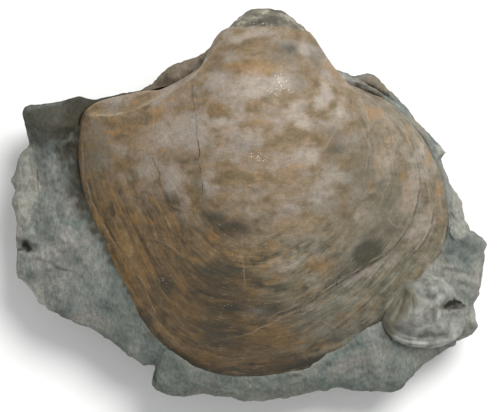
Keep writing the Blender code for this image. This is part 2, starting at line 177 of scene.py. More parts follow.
WARM = (
    (33, 14, 2, 7, -18, 0.6), (-33, 10, 2, 4, -25, 0.6), (-20, -24, 2.5, 6, -50, 0.6),
    (-15, -26, 6, 3, -30, 0.9), (3.5, -33.5, 6, 2, 0, 0.9), (-13, -39.5, 6, 1.6, -20, 1),
    (4.1, -30.8, 4.5, 1.6, 8, 1.2), (3.7, 33.8, 5, 1.8, 0, 0.9), (-18.5, 8, 2.5, 1.8, 0, 0.6),
    (-10, -37.6, 4.5, 1.4, -15, 1.2), (17, -15, 4.5, 3, 20, 0.7), (-29, -16, 3, 7, -35, 0.6),
    (39, 3.7, 1.8, 4, -5, 0.8), (-27, 14, 3, 4, -20, 0.6), (-38, -2, 2.5, 8, -25, 0.5),
    (-35, -13, 1.5, 8, -32, 0.7), (-33, -12, 3, 8, -32, 0.7), (-8, 24, 3, 2, 0, 0.6),
    (12, -4, 8, 3, 10, 0.5), (37, 9, 2.5, 7, -8, 0.35), (46, 4, 1.2, 7, -5, 0.45),
    (33, 20, 3, 5, -25, 0.35), (26, 27, 2, 5, -25, 0.35), (-33, 17.5, 6, 4, -25, 0.4),
    (-22, 22.5, 4, 3, 10, 0.5), (-0.9, 35.3, 10.2, 1.5, 0, 0.8), (-17.3, 28.5, 3.4, 2, 20, 0.4),
    (21, 33.4, 3.4, 1.5, -50, 0.7), (30.9, 23.1, 1.7, 2.2, -40, 1), (2.6, 21.1, 2.9, 0.7, 0, 0.7),
    (38.5, 7.4, 1.7, 2.2, 0, 0.9), (34.6, 11.3, 1.5, 2.2, -20, 0.5), (38.8, 18.3, 1.5, 2.5, -25, 0.6),
    (45, 12.7, 1, 3, -15, 0.7), (46.2, 5.2, 1, 2.2, -5, 0.9), (47.3, -2.5, 1, 2, 10, 0.6),
    (29.9, 5.4, 1.2, 3, -5, 0.5), (11.1, 9.2, 3.9, 1, 12, 0.8), (-30.6, 20.3, 3.2, 2.2, -15, 0.6),
    (-25.8, 16.7, 1.2, 3.2, -5, 0.6), (-18.8, -9.2, 0.7, 0.5, 0, 1), (-14.4, -12.8, 1.7, 1, -35, 0.8),
    (-22.8, -9.9, 1.2, 0.7, -35, 0.6), (-16.4, -19.3, 2.2, 1.5, -30, 0.9), (-28.4, -23, 1.5, 2.5, -60, 0.6),
    (-24, -25, 1.5, 2.2, -60, 0.6), (-16.1, -37, 3, 1.2, -35, 0.9), (-9.9, -39.2, 3, 1.2, -20, 0.8),
    (-2.6, -38.4, 3, 1.2, -5, 0.7), (8.1, -31.8, 2.7, 1.2, 15, 0.6), (10.6, -38.5, 2.2, 1, 10, 0.6),
    (22.5, -27.4, 3.5, 1.2, 25, 0.7), (13.8, -36, 2.5, 1.2, 15, 0.6), (8.3, -35.4, 2.5, 1, 10, 0.6),
    (19.9, -34.5, 2.5, 1, 25, 0.5), (-38, 4.9, 1, 3, -25, 0.6), (-32.4, 5.7, 2, 2.5, -35, 0.3),
    (-31.7, -6.3, 1.2, 3.5, -30, 0.4), (-21, 1.9, 2.5, 1.2, -35, 0.35), (4.3, 0.7, 4.9, 1.9, 0, 0.3),
    (36.9, 26, 2, 1.3, -45, 0.5), (25.6, 8, 1, 2.9, -5, 0.35), (12.2, -19, 5.4, 1.5, 15, 0.35),
    (1.8, -14.7, 3.4, 1.5, 0, 0.5),
)
# Dark patches: the valve's own dark stains, with painted shade on the lower slopes and along the bottom edge
GRIME_AND_SHADE = (
    (-6.5, -15.5, 11, 4, -8, 0.85), (-4.4, -4.9, 6, 3.6, -25, 0.55), (-13, -24.5, 9, 4.2, -25, 0.5),
    (-17, -39.2, 9, 2.6, -24, 0.7), (-27, -31, 1.6, 5, -40, 0.9), (14, -39, 9, 1.8, 14, 1),
    (-4.5, -15.8, 4.5, 2, 0, 1.1), (-6, -25.2, 5, 2, -5, 1.1), (24, -13, 5, 3, 25, 0.6),
    (30.2, -31, 4, 1.8, 28, 1.4), (1, 14.5, 7, 3, 0, 0.35), (-15, -38.5, 7, 1.8, -22, 0.95),
    (-3, -41.3, 8, 1.3, -3, 0.9), (10, -40.5, 8, 1.5, 8, 0.85), (28.6, -11.6, 3.6, 2.6, 25, 1.6),
    (-3, -33, 20, 7, -3, 0.5), (19, -29, 11, 4.5, 25, 0.6), (-10, -38, 9, 2.6, -20, 0.45),
    (8, -38.5, 11, 2.4, 10, 0.55), (-4.4, -4.9, 3.6, 2.2, -25, 0.9), (21.4, -17.9, 0.4, 1.5, -18, 1),
    (-21.5, -33, 2, 4, -40, 0.45), (-7.5, -20.5, 9, 3.2, -5, 0.75), (-9, -29.5, 11, 4, -10, 0.6),
    (10, -37.8, 13, 2.2, 5, 0.6), (-13, -37.5, 5, 3, -20, 0.5), (-20.4, -19.6, 3.5, 2.2, -35, 0.7),
    (6.5, -22.5, 5, 2.8, 5, 0.55), (20.9, 14.1, 2.7, 1.7, 0, 0.7), (25.2, 1.2, 2.5, 1, 50, 0.6),
    (34.1, -5.5, 2.7, 1.2, 10, 0.6), (1.3, 13.1, 2.9, 1.2, 0, 0.4), (14, 23.8, 2.2, 1.7, 0, 0.6),
    (8.6, 24.5, 2.9, 1, 0, 0.4), (20.4, 17.8, 2, 2, 0, 0.5), (-16.3, 11.9, 3.2, 1.2, 5, 0.7),
    (-12.8, 11.2, 1, 0.7, 0, 0.9), (-8.9, -2, 2.9, 1.5, -25, 0.9), (-19.7, 2.6, 2, 1, -40, 0.7),
    (0.4, 4.6, 2.2, 1, 0, 0.5), (-7, -13.2, 5.4, 1.7, -10, 0.8), (-20.4, -19.6, 2.2, 1.2, -30, 0.9),
    (-8, -19.2, 5.9, 2.7, -5, 0.7), (6.3, -24.7, 4.2, 2.2, 10, 0.8), (-12, -29.2, 3.7, 1.5, -25, 0.7),
    (-8.1, -33, 7.4, 1.2, -8, 0.8), (-9.6, -41.1, 3.5, 0.8, -10, 1), (-32.3, 9.9, 1.5, 3, -30, 0.5),
    (9.2, 38.9, 2.4, 1.7, 0, 0.6), (0.6, 37.3, 1.2, 0.5, 0, 0.7), (-12.4, 28.9, 3.4, 1.2, 0, 0.35),
    (-13.3, 27.1, 1.2, 1, 0, 0.6), (-8.7, 35.2, 2.2, 1.7, 20, 0.5), (23.6, -15.9, 3, 0.7, 27, 0.5),
    (17.7, -22.3, 4.9, 0.7, 25, 0.6), (-24.9, -13.4, 3.5, 1.2, -45, 0.4),
    (-28.6, -3.5, 2.5, 1.2, -50, 0.35), (9.7, -9.3, 4.4, 2, 15, 0.35), (19.6, -16.6, 3.9, 1.2, 25, 0.4),
    (28.3, -7.2, 2, 1.2, 10, 0.6), (12.3, -30.3, 4.5, 1, 12, 0.5), (29.9, 9.3, 1, 3.4, -5, 0.3),
)
OLIVE = (
    (-12, 5, 1.6, 7, 4, 0.7), (20, 6, 7, 13, 0, 0.7), (-12, -5, 3, 6, -30, 0.6),
    (-39.5, 17, 3, 5, -10, 0.55), (33, 1, 8, 12, -8, 0.9), (7.5, 36, 5, 4.5, 0, 0.75),
    (12, 31, 3, 5, 20, 0.6), (15.8, 38, 1.4, 5, 28, 0.8), (-11.5, 38.5, 1.4, 5, -28, 0.7),
    (-3, 39.5, 9, 2, 0, 0.35), (26.9, 4.4, 8.8, 14.7, 0, 0.8), (-38.6, 11, 2.6, 9, -8, 1),
    (-32.3, 12.3, 2, 4.5, -25, 0.5), (32.3, -20.5, 6.5, 2.5, 30, 0.5), (3.6, -22.7, 12.3, 5.4, 5, 0.5),
    (10.1, 33.6, 5.4, 3.4, 0, 0.4), (-8, 34.2, 3.4, 2.4, 0, 0.4), (20, 37.1, 3, 3, 0, 0.3),
    (42.2, -8, 2.5, 4, -30, 0.5), (-8.8, -30.2, 12.4, 4.5, -12, 0.4), (-14.8, -5.4, 6.4, 1.5, -30, 0.5),
    (26.1, -34.3, 5.5, 1.8, 27, 0.6), (-42.1, 11.9, 0.5, 11.2, -3, 0.9),
)
# Darker lower parts: deeper brown shell, with painted shade on the lower slopes and bottom edge that face
# away from the light
DEEP_BROWN_AND_SHADE = (
    (-16, -38.5, 12, 3.6, -24, 1), (8, -39.5, 15, 3, 8, 0.9), (-5, -25, 15, 5, -8, 0.55),
    (29.5, -30.5, 5, 2.4, 28, 1), (-4.4, -5, 5, 3, -25, 0.6), (-28.5, -28, 2, 8, -38, 0.9),
    (24.5, -17, 5, 3, 25, 0.5), (-26, 11.5, 4, 3, -30, 0.25), (9, 39.5, 9, 4.5, -25, 0.35),
    (-14, -25, 9, 4, -25, 0.6), (-3, -33.5, 18, 5, -3, 0.45), (18, 20, 3, 5, 0, 0.25),
)
# Where the painted glints of calcite crystals lie
GLINT = (
    (7.9, 29.7, 3.2, 3.9, 0, 1), (1.8, 12.8, 3.6, 1.2, 0, 1), (-0.8, 4.6, 1.5, 1, 0, 0.8),
    (4.5, 4.3, 1.5, 0.5, 0, 0.7), (-4, -12.3, 3.2, 1, -10, 0.8), (-21.4, -18.9, 1.5, 2.2, -30, 0.9),
    (-18.4, -22.8, 1.2, 2, -30, 0.6), (-12.9, 28.4, 1.2, 1, 0, 0.5), (-5, -24.2, 3.4, 1.2, 0, 0.6),
    (2.8, 44.3, 7.4, 1.5, 0, 0.8), (-0.6, 46.2, 3.4, 1.5, 0, 0.6), (-13.6, 21.5, 1.5, 1, 0, 0.3),
    (-6.9, 19.9, 1.5, 0.7, 0, 0.4), (-33, -8, 2, 6.5, -30, 0.5), (-40.1, 5.7, 1, 5.5, -20, 0.7),
    (-32.6, -13.5, 1, 5, -30, 0.6), (12.1, 0.7, 2.9, 2, 0, 0.3), (-15.5, -27.3, 3.5, 2.5, 0, 0.4),
    (3.3, 35.6, 3.9, 1, 0, 0.3), (11.3, -0.8, 0.5, 0.5, 0, 0.9),
)

# The block's outline from above, in millimetres, from its top left corner round past the beak
BLOCK = (
    (-57.2, 23.2), (-56.7, 25.3), (-55.5, 26), (-49.5, 26.5), (-43.7, 27.9), (-38.5, 27.8), (-31.4, 28.8),
    (-26.9, 29.5), (-22.9, 33), (-18.4, 35.8), (-12.4, 38.8), (-9, 41.2), (-2, 42.5), (9, 41.5), (18, 37),
    (25, 33.1), (28, 33.1), (29.6, 33.7), (35.6, 29.4), (38, 27), (42.8, 21.4), (49.7, 14), (48.4, 12.3),
    (48.7, 10.3), (50.7, 5.7), (52.4, 2.2), (53.7, -3.6), (56, -6.1), (58.7, -7.3), (59.8, -9.2),
    (59, -11.1), (58.5, -15.6), (57.7, -21.2), (56.7, -25.2), (57.2, -29.7), (55.7, -31.7), (51.9, -33.6),
    (51.8, -34.8), (48.7, -36.5), (41.6, -42.1), (37.4, -45.6), (36, -45.8), (22.3, -45.6), (13.2, -47.1),
    (1.9, -48.9), (-4.9, -47.8), (-17, -47.3), (-22.5, -46.5), (-24.9, -44.8), (-24.3, -40), (-27, -39.5),
    (-36.8, -32.3), (-49.4, -26.7), (-53.5, -23.7), (-55.7, -19.9), (-58.6, -17.8), (-59.2, -15.6),
    (-59.2, -7.1), (-58.2, -4.8), (-60, 1.7), (-59.2, 4.2), (-59.9, 7), (-58.2, 12.5), (-56, 16),
)
STONE_CONTACT = 0.0205  # height of the stone where it meets the valve
CONTACT_SCALE = 0.985  # the growth ring that it meets
STONE_RIM = 0.0138  # mean height of the block's outer edge
STONE_RIM_SWAY = 0.0018
STONE_SLOPE = 0.60  # under 1, the top climbs fastest near the outer edge
STONE_BACK_RISE = 0.35  # slope of the edge's climb behind the hinge
SEAM_SINK, SEAM_SHADOW_REACH = 0.0007, 0.0009  # depth of the seam round the valve, and reach of the painted shadow in it
STONE_SIDES = ((0.80, 0.0), (0.89, 0.20), (0.955, 0.55), (1.0, 1.0))  # shares of outline and height
STONE_UNDER = (1.04, 1.10, 1.30)  # rings that run on under the valve
STONE_FOOT = (0.3, 0.6, 0.74)  # rings of the flat foot, as shares of the outline
STONE_AROUND, STONE_SIDE_RINGS, STONE_TOP_RINGS = 700, 30, 62

# Rises and falls of the stone's top in millimetres: centre, reach in x and y, and height
STONE_RELIEF = (
    (-50.0, 20.7, 9.0, 5.2, 4.6),  # the dark shoulder at the top left
    (-11.0, 34.0, 11.0, 7.5, 10.0),  # the wedge under the beak
    (9.0, 36.0, 11.0, 6.5, 9.0),  # its other side
    (32.5, 32.0, 5.5, 3.6, 5.6),  # the knob behind the right shoulder
    (-56.2, -9.8, 1.5, 1.2, -2.8),  # the pit near the left edge
    (52.5, -12.5, 4.0, 4.0, -1.4),  # the dip above the small oyster
    (-43.0, 12.0, 3.5, 9.0, -1.6),  # the hollow beside the valve's left edge
    (-43.5, 4.0, 1.6, 5.0, -0.9),  # its deepest part
    (34.0, -25.0, 4.5, 4.5, -1.8),  # the dip where the small oyster meets the valve
    (56.2, -28.4, 2.2, 3.4, 2.6),  # the rounded lump right of the small oyster
    (49.7, -12.1, 1.2, 0.9, -0.7),  # small pits
    (56.2, -11.9, 0.8, 0.6, -0.5),
    (45.9, 13.4, 0.7, 0.7, -0.4),
    (-49.6, 6.3, 0.5, 0.5, -0.3),
    (-54.0, -5.0, 0.6, 0.5, -0.3),
    (-48.0, -11.4, 0.5, 0.4, -0.3),
)

# Low steps in the stone's top in millimetres: drop, run, and the line, high side on its left
STONE_STEPS = (
    (1.3, 5, ((-57.3, -6.8), (-54.5, -3.6), (-53, 2), (-53.7, 7.5), (-55.3, 14.5))),
    (0.5, 4, ((-56.8, -13.6), (-51.5, -12.6), (-47.7, -15.1), (-42.7, -16.1))),
    (0.4, 2, ((-55.3, -11.6), (-51.2, -13.6))), (0.7, 3, ((50, -1), (50.8, -2), (53.2, -3.9))),
    (0.5, 3, ((-24.4, -39), (-23, -36), (-20, -34.5))),
)
# The cut beside the knob: its line in millimetres, and its depth
KNOB_LINE = ((24.9, 32.8), (28.6, 31.2), (31.8, 29.4), (36.2, 26.6))
KNOB_CUT = 0.0012

# Dark lines in the stone: its joints, and painted shadow along the knob's cut and a step: strength, and the
# line in millimetres
STONE_JOINTS_AND_SHADOWS = (
    (0.2, ((-56.6, -11.8), (-52.7, -12.8), (-49, -13.6), (-43.9, -13.6), (-38.9, -12.3))),
    (0.2, ((-56.1, 4.5), (-54.5, 8.2), (-53.7, 11.2))),
    (0.3, ((-53.7, 11.2), (-53.5, 5.7), (-52.5, 0.7), (-53.5, -3.6), (-55.3, -7.6))),
    (0.9, ((-41.8, 23.2), (-43, 21.4), (-45.5, 20.1), (-48, 19.4))),
    (1, KNOB_LINE),
    (0.9, ((50, -1), (50.8, -2), (53.2, -3.9))),
)
# Soft ripples in the stone right of the small oyster: height, width, and the line
STONE_RIPPLES = (
    (0.45, 0.7, ((47, -14.2), (50.2, -14.6), (53.4, -15.4), (56.6, -15.8))),
    (-0.35, 0.5, ((47.4, -15.4), (50.8, -16), (54, -17), (57, -17.2))),
    (0.4, 0.7, ((49.4, -16.6), (52, -17.4), (54.6, -18.6), (57, -18.8))),
    (-0.35, 0.5, ((51.2, -18.6), (53.4, -19.4), (55.6, -20.6), (57.4, -20.8))),
    (0.4, 0.7, ((52.6, -19.8), (54.2, -21), (56.2, -22.6))),
)
DISC = (52.2, -5.6, 2.7)  # a worn scrap of shell: centre and radius in millimetres

STONE_BROWN = (
    (-47.5, 22.6, 10.5, 5.2, 8, 1), (-52, 22.4, 6, 4.2, 0, 1), (-42.5, 26.5, 4, 2, 5, 1),
    (-40.5, 21.4, 2.5, 3.5, 0, 1), (-44.6, 14.5, 4, 2.5, -30, 0.7),
)
STONE_TAN = (
    (-20, 32.3, 9.5, 3.6, 24, 1), (-11.5, 37, 3, 5, -30, 1), (-30, 29.2, 4, 1.5, 8, 0.8),
    (32, 31.8, 5.5, 2.4, -35, 0.7), (41.5, 20.5, 4.5, 2, -48, 0.4),
)
# Dark patches: painted shade in the hollow beside the valve, the pits, the groove by the beak, the notch and
# along the valve's edge, with some of the stone's own dark stains
STONE_DARK_AND_SHADE = (
    (-45, 11.8, 3.2, 3.5, 0, 0.8), (-43.5, 1.5, 2, 4.5, -20, 0.8), (-24.6, -42.5, 0.8, 3.5, 0, 0.9),
    (-14.1, 32.6, 1.2, 0.8, 40, 0.8), (-11.8, 36.4, 0.8, 2.2, -32, 0.9), (-9, 40.4, 0.7, 1.6, -35, 0.8),
    (-43.9, 5.7, 2, 4, -15, 1), (-41.4, 0.2, 1.5, 4, -20, 0.9), (-47.5, 17.4, 5, 1.5, 0, 0.5),
    (-56.6, -9.9, 0.9, 1, 30, 1.2), (-55.5, -10.4, 1, 0.7, -10, 1.2), (-57.8, -10.9, 0.9, 0.5, 20, 1),
    (-39.4, -6, 1.2, 3, -25, 0.5), (-40.8, 23.8, 3.2, 1.2, 30, 1.2), (-34.4, -19.3, 1.5, 4.5, -30, 0.35),
    (-25.1, -33.1, 2.5, 1.8, -40, 0.6), (10.9, -42.3, 4, 1, 10, 0.5), (50.4, -2.6, 1.5, 0.8, -40, 0.5),
    (49.7, -12.1, 1.3, 1, 0, 0.6), (56.2, -11.9, 0.8, 0.5, 0, 0.4), (45.9, 13.4, 0.7, 0.7, 0, 0.6),
    (33.2, -31.6, 2, 1, -45, 0.6), (7.4, -41.5, 7.5, 0.7, 2, 0.35),
)
STONE_WARM = (
    (-48, -14, 8, 8, 0, 0.8), (-47.7, 2, 4, 6, 0, 0.6), (-50.7, 10.7, 3, 2.5, 0, 0.5),
    (-0.1, -44.4, 10, 2, 0, 0.25), (-12.6, -40.6, 4, 1.5, -30, 0.3), (9.9, -45.7, 4.5, 1.3, 0, 0.3),
)
STONE_PALE = (
    (-55.5, 15.5, 2.6, 2.6, 0, 0.8), (-58, -1.5, 1.6, 4, 0, 0.6), (-48, -10, 7, 7, 0, 0.3),
    (55.8, -29, 3, 3.4, 0, 1.2), (-51.5, -19, 6, 4, -20, 0.5), (-56.1, 4.5, 2, 8.5, 4, 1),
    (-57.4, 12, 2, 3.5, 0, 0.6), (52.2, -5.6, 2.3, 2.3, 0, 0.5), (47.6, 14.5, 1.5, 1.3, 0, 0.8),
    (58.3, -8.1, 0.8, 0.5, 0, 0.9), (-32.8, -34.4, 5, 1.3, -30, 0.3), (42.1, 0, 0.7, 4, -8, 0.4),
    (24.9, -41.2, 7.5, 2.5, 0, 0.3),
)
STONE_BLUE = (
    (-35.1, -19.3, 6, 9, -30, 0.7), (47.3, 6.9, 4, 10, -10, 0.6), (50, -10.6, 6.5, 5, 0, 0.4),
    (-43.9, -1.8, 2.5, 2.5, 0, 0.4), (-32.7, -28.1, 6.5, 3.5, -30, 0.6),
)
STONE_GREEN = (
    (-19, -41.5, 7, 4, -20, 1.2), (-29, -28.5, 3.5, 9, -38, 1.2), (2.4, -45.2, 27.6, 3.5, 0, 0.8),
    (37.5, -41.2, 11.6, 5.5, 20, 0.6), (-32.8, -34.4, 7.5, 3, -30, 0.5), (55.2, -25.7, 3, 7.5, 0, 0.5),
)

# The small oyster's edge from above and its broken beak, in millimetres
OYSTER_EDGE = (
    (32.4, -28.8), (33.6, -31.2), (35.6, -33.2), (38.8, -34.6), (43, -35.2), (47.2, -35.2), (50.6, -34),
    (53, -32.2), (54.2, -29.8), (54.6, -27), (54.2, -24.6), (52.8, -22.4), (50.8, -20), (48.9, -17.8),
    (46.4, -16.7), (43.6, -17), (40.6, -18), (38, -19.6), (36, -22), (34.6, -25),
)
OYSTER_BEAK = (50.0, -25.0)
OYSTER_SEAT = 0.0155  # height of the stone under its middle
OYSTER_MIDDLE = (0.0450, -0.0260)
OYSTER_RIM = 0.0022  # its edge above the seat, at its middle
OYSTER_LEAN = (-0.19, 0.16)  # fall of the stone that it lies on, along x and y
OYSTER_RISE = 0.0040  # its own height above that edge
OYSTER_EMBED = 0.0012  # how far its edge goes on into the stone
OYSTER_FACET = (50.4, -29.0)  # middle of its smooth facet, in millimetres
OYSTER_AROUND, OYSTER_RINGS = 300, 120
# Its rises and falls in millimetres: centre, reach in x and y, and height
OYSTER_RELIEF = (
    (45.3, -20.0, 2.4, 2.0, 2.0),  # upper lobe
    (41.0, -26.5, 4.6, 4.2, 1.5),  # swollen middle
    (37.5, -22.8, 3.0, 3.2, -1.6),  # sunken brown corner
    (37.5, -31.5, 3.4, 1.4, -0.9),  # low behind the lip
    (44.0, -32.8, 4.5, 1.2, -1.2),  # and farther right
    (50.4, -28.6, 3.0, 3.0, -2.0),  # smooth hollow facet
    (50.3, -24.5, 1.6, 1.0, -2.7),  # the broken beak
    (48.7, -25.2, 1.1, 0.8, -1.8),
    (52.4, -23.8, 0.9, 0.4, -1.0),
    (50.9, -23.2, 0.4, 0.8, -0.9),
    (43.9, -30.1, 0.9, 0.8, 0.4),  # a knob on its lower side
)
# Its folds in millimetres: height, width, and the line
OYSTER_FOLDS = (
    (-0.7, 0.5, ((34.6, -29.2), (37.2, -31.2), (41.2, -32.3), (45.6, -32.3), (49.6, -31.4))),
    (-0.35, 0.9, ((40.4, -19.6), (42, -22.4), (45.2, -23.2), (48.6, -22.2))), (1.3, 1, ((48.6, -21.6),
     (46.8, -23.4), (46.2, -25.6), (46.6, -28), (48.2, -30.4), (50.4, -32.2))),
    (-0.55, 0.4, ((52.9, -24.3), (54.3, -25.4), (53.8, -27.2), (54.4, -28.6))),
    (-0.45, 0.55, ((48.9, -18.4), (47.6, -20.4), (47.2, -22.6))), (0.65, 0.65, ((33.8, -31.2), (36.6, -33),
     (40.6, -34.3), (45.4, -34.5), (49.6, -33.4), (51.8, -32.2))),
    (0.25, 0.5, ((36, -30.6), (38.6, -32.2), (42.4, -32.9), (46, -32.6))),
    (-0.35, 0.45, ((38.6, -20.2), (37.8, -23.6), (36.4, -27), (34.6, -29.6))),
    (-0.25, 0.35, ((40.4, -20.6), (40.6, -24.4), (39.2, -28.4), (37.4, -30.6))),
)
# Dark lines painted as shade in its creases, round the broken beak and in the groove under the lip:
# strength, and the line in millimetres
OYSTER_CREASE_SHADE = (
    (0.9, ((48.2, -25.5), (49.6, -24.9), (51.2, -24.2), (52.6, -23.7))),
    (0.8, ((49.6, -26.3), (50.6, -24.8), (51, -22.9))),
    (0.8, ((52.9, -24.3), (54.3, -25.4), (53.8, -27.2), (54.4, -28.6))),
    (0.9, ((32.8, -29.4), (34.2, -31.8), (36.6, -33.8))),
    (0.4, ((54, -24.4), (52.4, -22), (50.6, -19.8), (48.8, -17.8))),
    (0.4, ((40.6, -21), (41.6, -24), (40.4, -27))),
)
OYSTER_BROWN = (
    (38.4, -21.8, 3.2, 2.4, -30, 1.2), (36.2, -25.6, 2.4, 4.2, -25, 1.3), (34.4, -29.4, 1.4, 2, -40, 0.8),
)
# The whitish lip and pale marks, with a painted glint on the knob of its lower side
OYSTER_PALE_AND_GLINT = (
    (43.9, -30.1, 0.9, 0.7, 0, 0.9), (37.5, -33.2, 2.4, 0.8, -25, 1.3), (42, -34.3, 2.8, 0.8, -8, 1.3),
    (47.5, -34, 2.8, 0.8, 10, 1.2), (51.4, -32.4, 0.9, 0.8, 0, 1), (44.9, -20, 2, 1.6, 0, 0.4),
    (46.3, -26.6, 0.6, 2.8, 0, 1), (48.7, -30.9, 1.7, 0.5, -45, 0.6), (42.5, -25.5, 2.5, 2, 0, 0.35),
)
# Painted shade in the broken beak's hole, in the groove under the lip and along the right edge
OYSTER_SHADE = (
    (50.2, -24.4, 1.7, 1.2, 10, 1.5), (49, -25.3, 0.9, 0.4, 25, 0.9), (52.3, -23.8, 0.9, 0.3, 20, 0.8),
    (33.6, -31, 0.6, 1.6, 35, 0.8), (54.2, -26.6, 0.3, 1.4, 0, 0.6),
)

# Every patch list by the name of the attribute that it makes on its piece
SHELL_MARKS = {"lilac": LILAC, "warm": WARM, "grime_and_shade": GRIME_AND_SHADE, "olive": OLIVE, "deep_brown_and_shade": DEEP_BROWN_AND_SHADE, "glint": GLINT}
STONE_MARKS = {
    "brown": STONE_BROWN, "dark": STONE_DARK_AND_SHADE, "warm": STONE_WARM, "pale": STONE_PALE, "blue": STONE_BLUE,
    "green": STONE_GREEN, "tan": STONE_TAN,
}
OYSTER_MARKS = {"brown": OYSTER_BROWN, "pale": OYSTER_PALE_AND_GLINT, "dark": OYSTER_SHADE}

PATCH_FALL = 0.7  # how fast a patch fades towards its edge
LINE_REACH = 0.0015  # how far from a line its attribute counts
LINE_WANDER = 2.0  # how far the grain moves drawn lines, in millimetres
GRAIN_SWAY = 1.8  # how much the grain moves the edges of patches
BLEND = {"out": 2, "data_type": "RGBA"}  # one colour over another
SMOOTH = {"interpolation_type": "SMOOTHSTEP"}  # a soft edge

# The camera over the fossil, the lamps with their place, size and power, and the light from all round
CAMERA_PLACE = (-0.000125, 0.00045, 1.0)
CAMERA_LENS = 282.24
LAMPS = (
    ("high_softbox", (0.36, 0.52, 0.78), 0.6, 11.5),
    ("low_fill", (-0.5, -0.6, 0.8), 0.9, 1.6),
)
ROOM_LIGHT = 0.50


def linear(hex_colour):
    """An sRGB hex colour as linear red, green and blue."""
    parts = [int(hex_colour[i : i + 2], 16) / 255 for i in (1, 3, 5)]
    return [c / 12.92 if c <= 0.04045 else ((c + 0.055) / 1.055) ** 2.4 for c in parts]


def closed_curve(corners, count):
    """Evenly spaced points, in metres, on the closed B-spline that corners in millimetres pull."""
    corners = np.array(corners) * MM
    total = len(corners)
    t = np.linspace(0, 1, 16, endpoint=False)[:, None]
    pulls = ((1 - t) ** 3, 3 * t**3 - 6 * t**2 + 4, 1 + 3 * t + 3 * t**2 - 3 * t**3, t**3)
    spans = []
    for i in range(total):
        near = corners[[i - 1, i, (i + 1) % total, (i + 2) % total]]
        spans.append(sum(pull * corner for pull, corner in zip(pulls, near)) / 6)
    return evenly(np.vstack(spans), count)


def evenly(line, count):
    """A closed line cut into this many even steps."""
    line = np.vstack([line, line[:1]])
    along = np.concatenate([[0], np.cumsum(np.linalg.norm(np.diff(line, axis=0), axis=1))])
    wanted = np.linspace(0, along[-1], count, endpoint=False)
    return np.stack([np.interp(wanted, along, line[:, k]) for k in (0, 1)], -1)


def soften(line, rounds=2):
    """An open line in millimetres with its corners cut, in metres."""
    line = np.array(line) * MM
    for _ in range(rounds):
        near, far = line[:-1] * 0.75 + line[1:] * 0.25, line[:-1] * 0.25 + line[1:] * 0.75
        cut = np.stack([near, far], 1).reshape(-1, 2)
        line = np.vstack([line[:1], cut, line[-1:]])
    return line


def trace(points, line):
    """For each point from above: its distance from the line, signed to the left, and its share along it."""
    steps = np.diff(line, axis=0)
    lengths = np.linalg.norm(steps, axis=1)
    started = np.concatenate([[0], np.cumsum(lengths)])
    near = np.full(len(points), np.inf)
    signed, along = near.copy(), np.zeros(len(points))
    for start, step, length, done in zip(line, steps, lengths, started):
        away = points[:, :2] - start
        share = np.clip(away @ step / length**2, 0, 1)
        off = away - share[:, None] * step
        distance = np.hypot(off[:, 0], off[:, 1])
        closer = distance < near
        near = np.where(closer, distance, near)
        left = step[0] * off[:, 1] - step[1] * off[:, 0]
        signed = np.where(closer, np.where(left < 0, -distance, distance), signed)
        along = np.where(closer, (done + share * length) / started[-1], along)
    return signed, along


def ease(values, low, high):
    """0 below low, 1 above high, and smooth between."""
    t = np.clip((values - low) / (high - low), 0, 1)
    return t * t * (3 - 2 * t)


def fading(along, share):
    """1 along a line, easing to 0 over this share of it at each end."""
    return ease(along, 0, share) * (1 - ease(along, 1 - share, 1))


def swell(gap, reach):
    """1 where there is no gap, falling smoothly to nothing beyond the reach."""
    return np.exp(-((gap / reach) ** 2))


def raised(level, height=0.0):
    """Points seen from above, given a height."""
    return np.column_stack([level, np.broadcast_to(height, len(level))])


def clouds(points, size, seed=0.0):
    """Smooth noise from about -1 to 1, with lumps of this size, which may differ along each axis."""
    scaled = points / size + seed
    return np.array([noise.noise(spot) for spot in scaled.tolist()])


def mounds(points, relief):
    """Rounded rises and hollows from a list in millimetres."""
    height = np.zeros(len(points))
    for x, y, reach_x, reach_y, rise in relief:
        away = ((points[:, 0] / MM - x) / reach_x) ** 2 + ((points[:, 1] / MM - y) / reach_y) ** 2
        height += rise * MM * np.exp(-away)
    return height


def cover(points, patches):
    """How strongly each point lies in the patch that is strongest there."""
    most = np.zeros(len(points))
    for x, y, reach_x, reach_y, turn, strength in patches:
        cos, sin = math.cos(math.radians(turn)), math.sin(math.radians(turn))
        away = points[:, :2] / MM - (x, y)
        off = (away @ (cos, sin) / reach_x) ** 2 + (away @ (-sin, cos) / reach_y) ** 2
        most = np.maximum(most, strength * np.exp(-PATCH_FALL * off))
    return most


def growth_ring(rim, scale):
    """The valve's edge when it was this share of its full size, as 3-D points."""
    age = (1 - scale) / (1 - BEAK_SCALE)
    tilt = BEAK_TILT * age**TILT_POWER
    aside = np.hypot(rim[:, 0] - PINCH_AXIS, PINCH_ROUND) - PINCH_ROUND
    pinch = RING_PINCH * math.sin(math.pi * age**0.75) * aside / HALF_WIDTH
    reach = rim[:, 1] * (1 - pinch) * scale
    climb = rim[:, 1] * (1 - pinch * PINCH_RISE) * scale
    across = HINGE[0] + rim[:, 0] * scale**BEAK_BREADTH + BEAK_ASIDE * age**2
    forward = HINGE[1] + reach * math.cos(tilt) + BEAK_REACH * age**REACH_POWER
    rise = SHELL_LIFT * (1 - scale**3) ** 0.6 - climb * math.sin(tilt) * SHELL_DOME
    return np.stack([across, forward, SHELL_EDGE_HEIGHT + rise], -1)


def outward(rings):
    """Normals of a grid of rings that run round to the left and up."""
    round_it = np.roll(rings, -1, axis=1) - np.roll(rings, 1, axis=1)
    normal = np.cross(round_it, np.gradient(rings, axis=0))
    return normal / np.maximum(np.linalg.norm(normal, axis=2, keepdims=True), 1e-12)


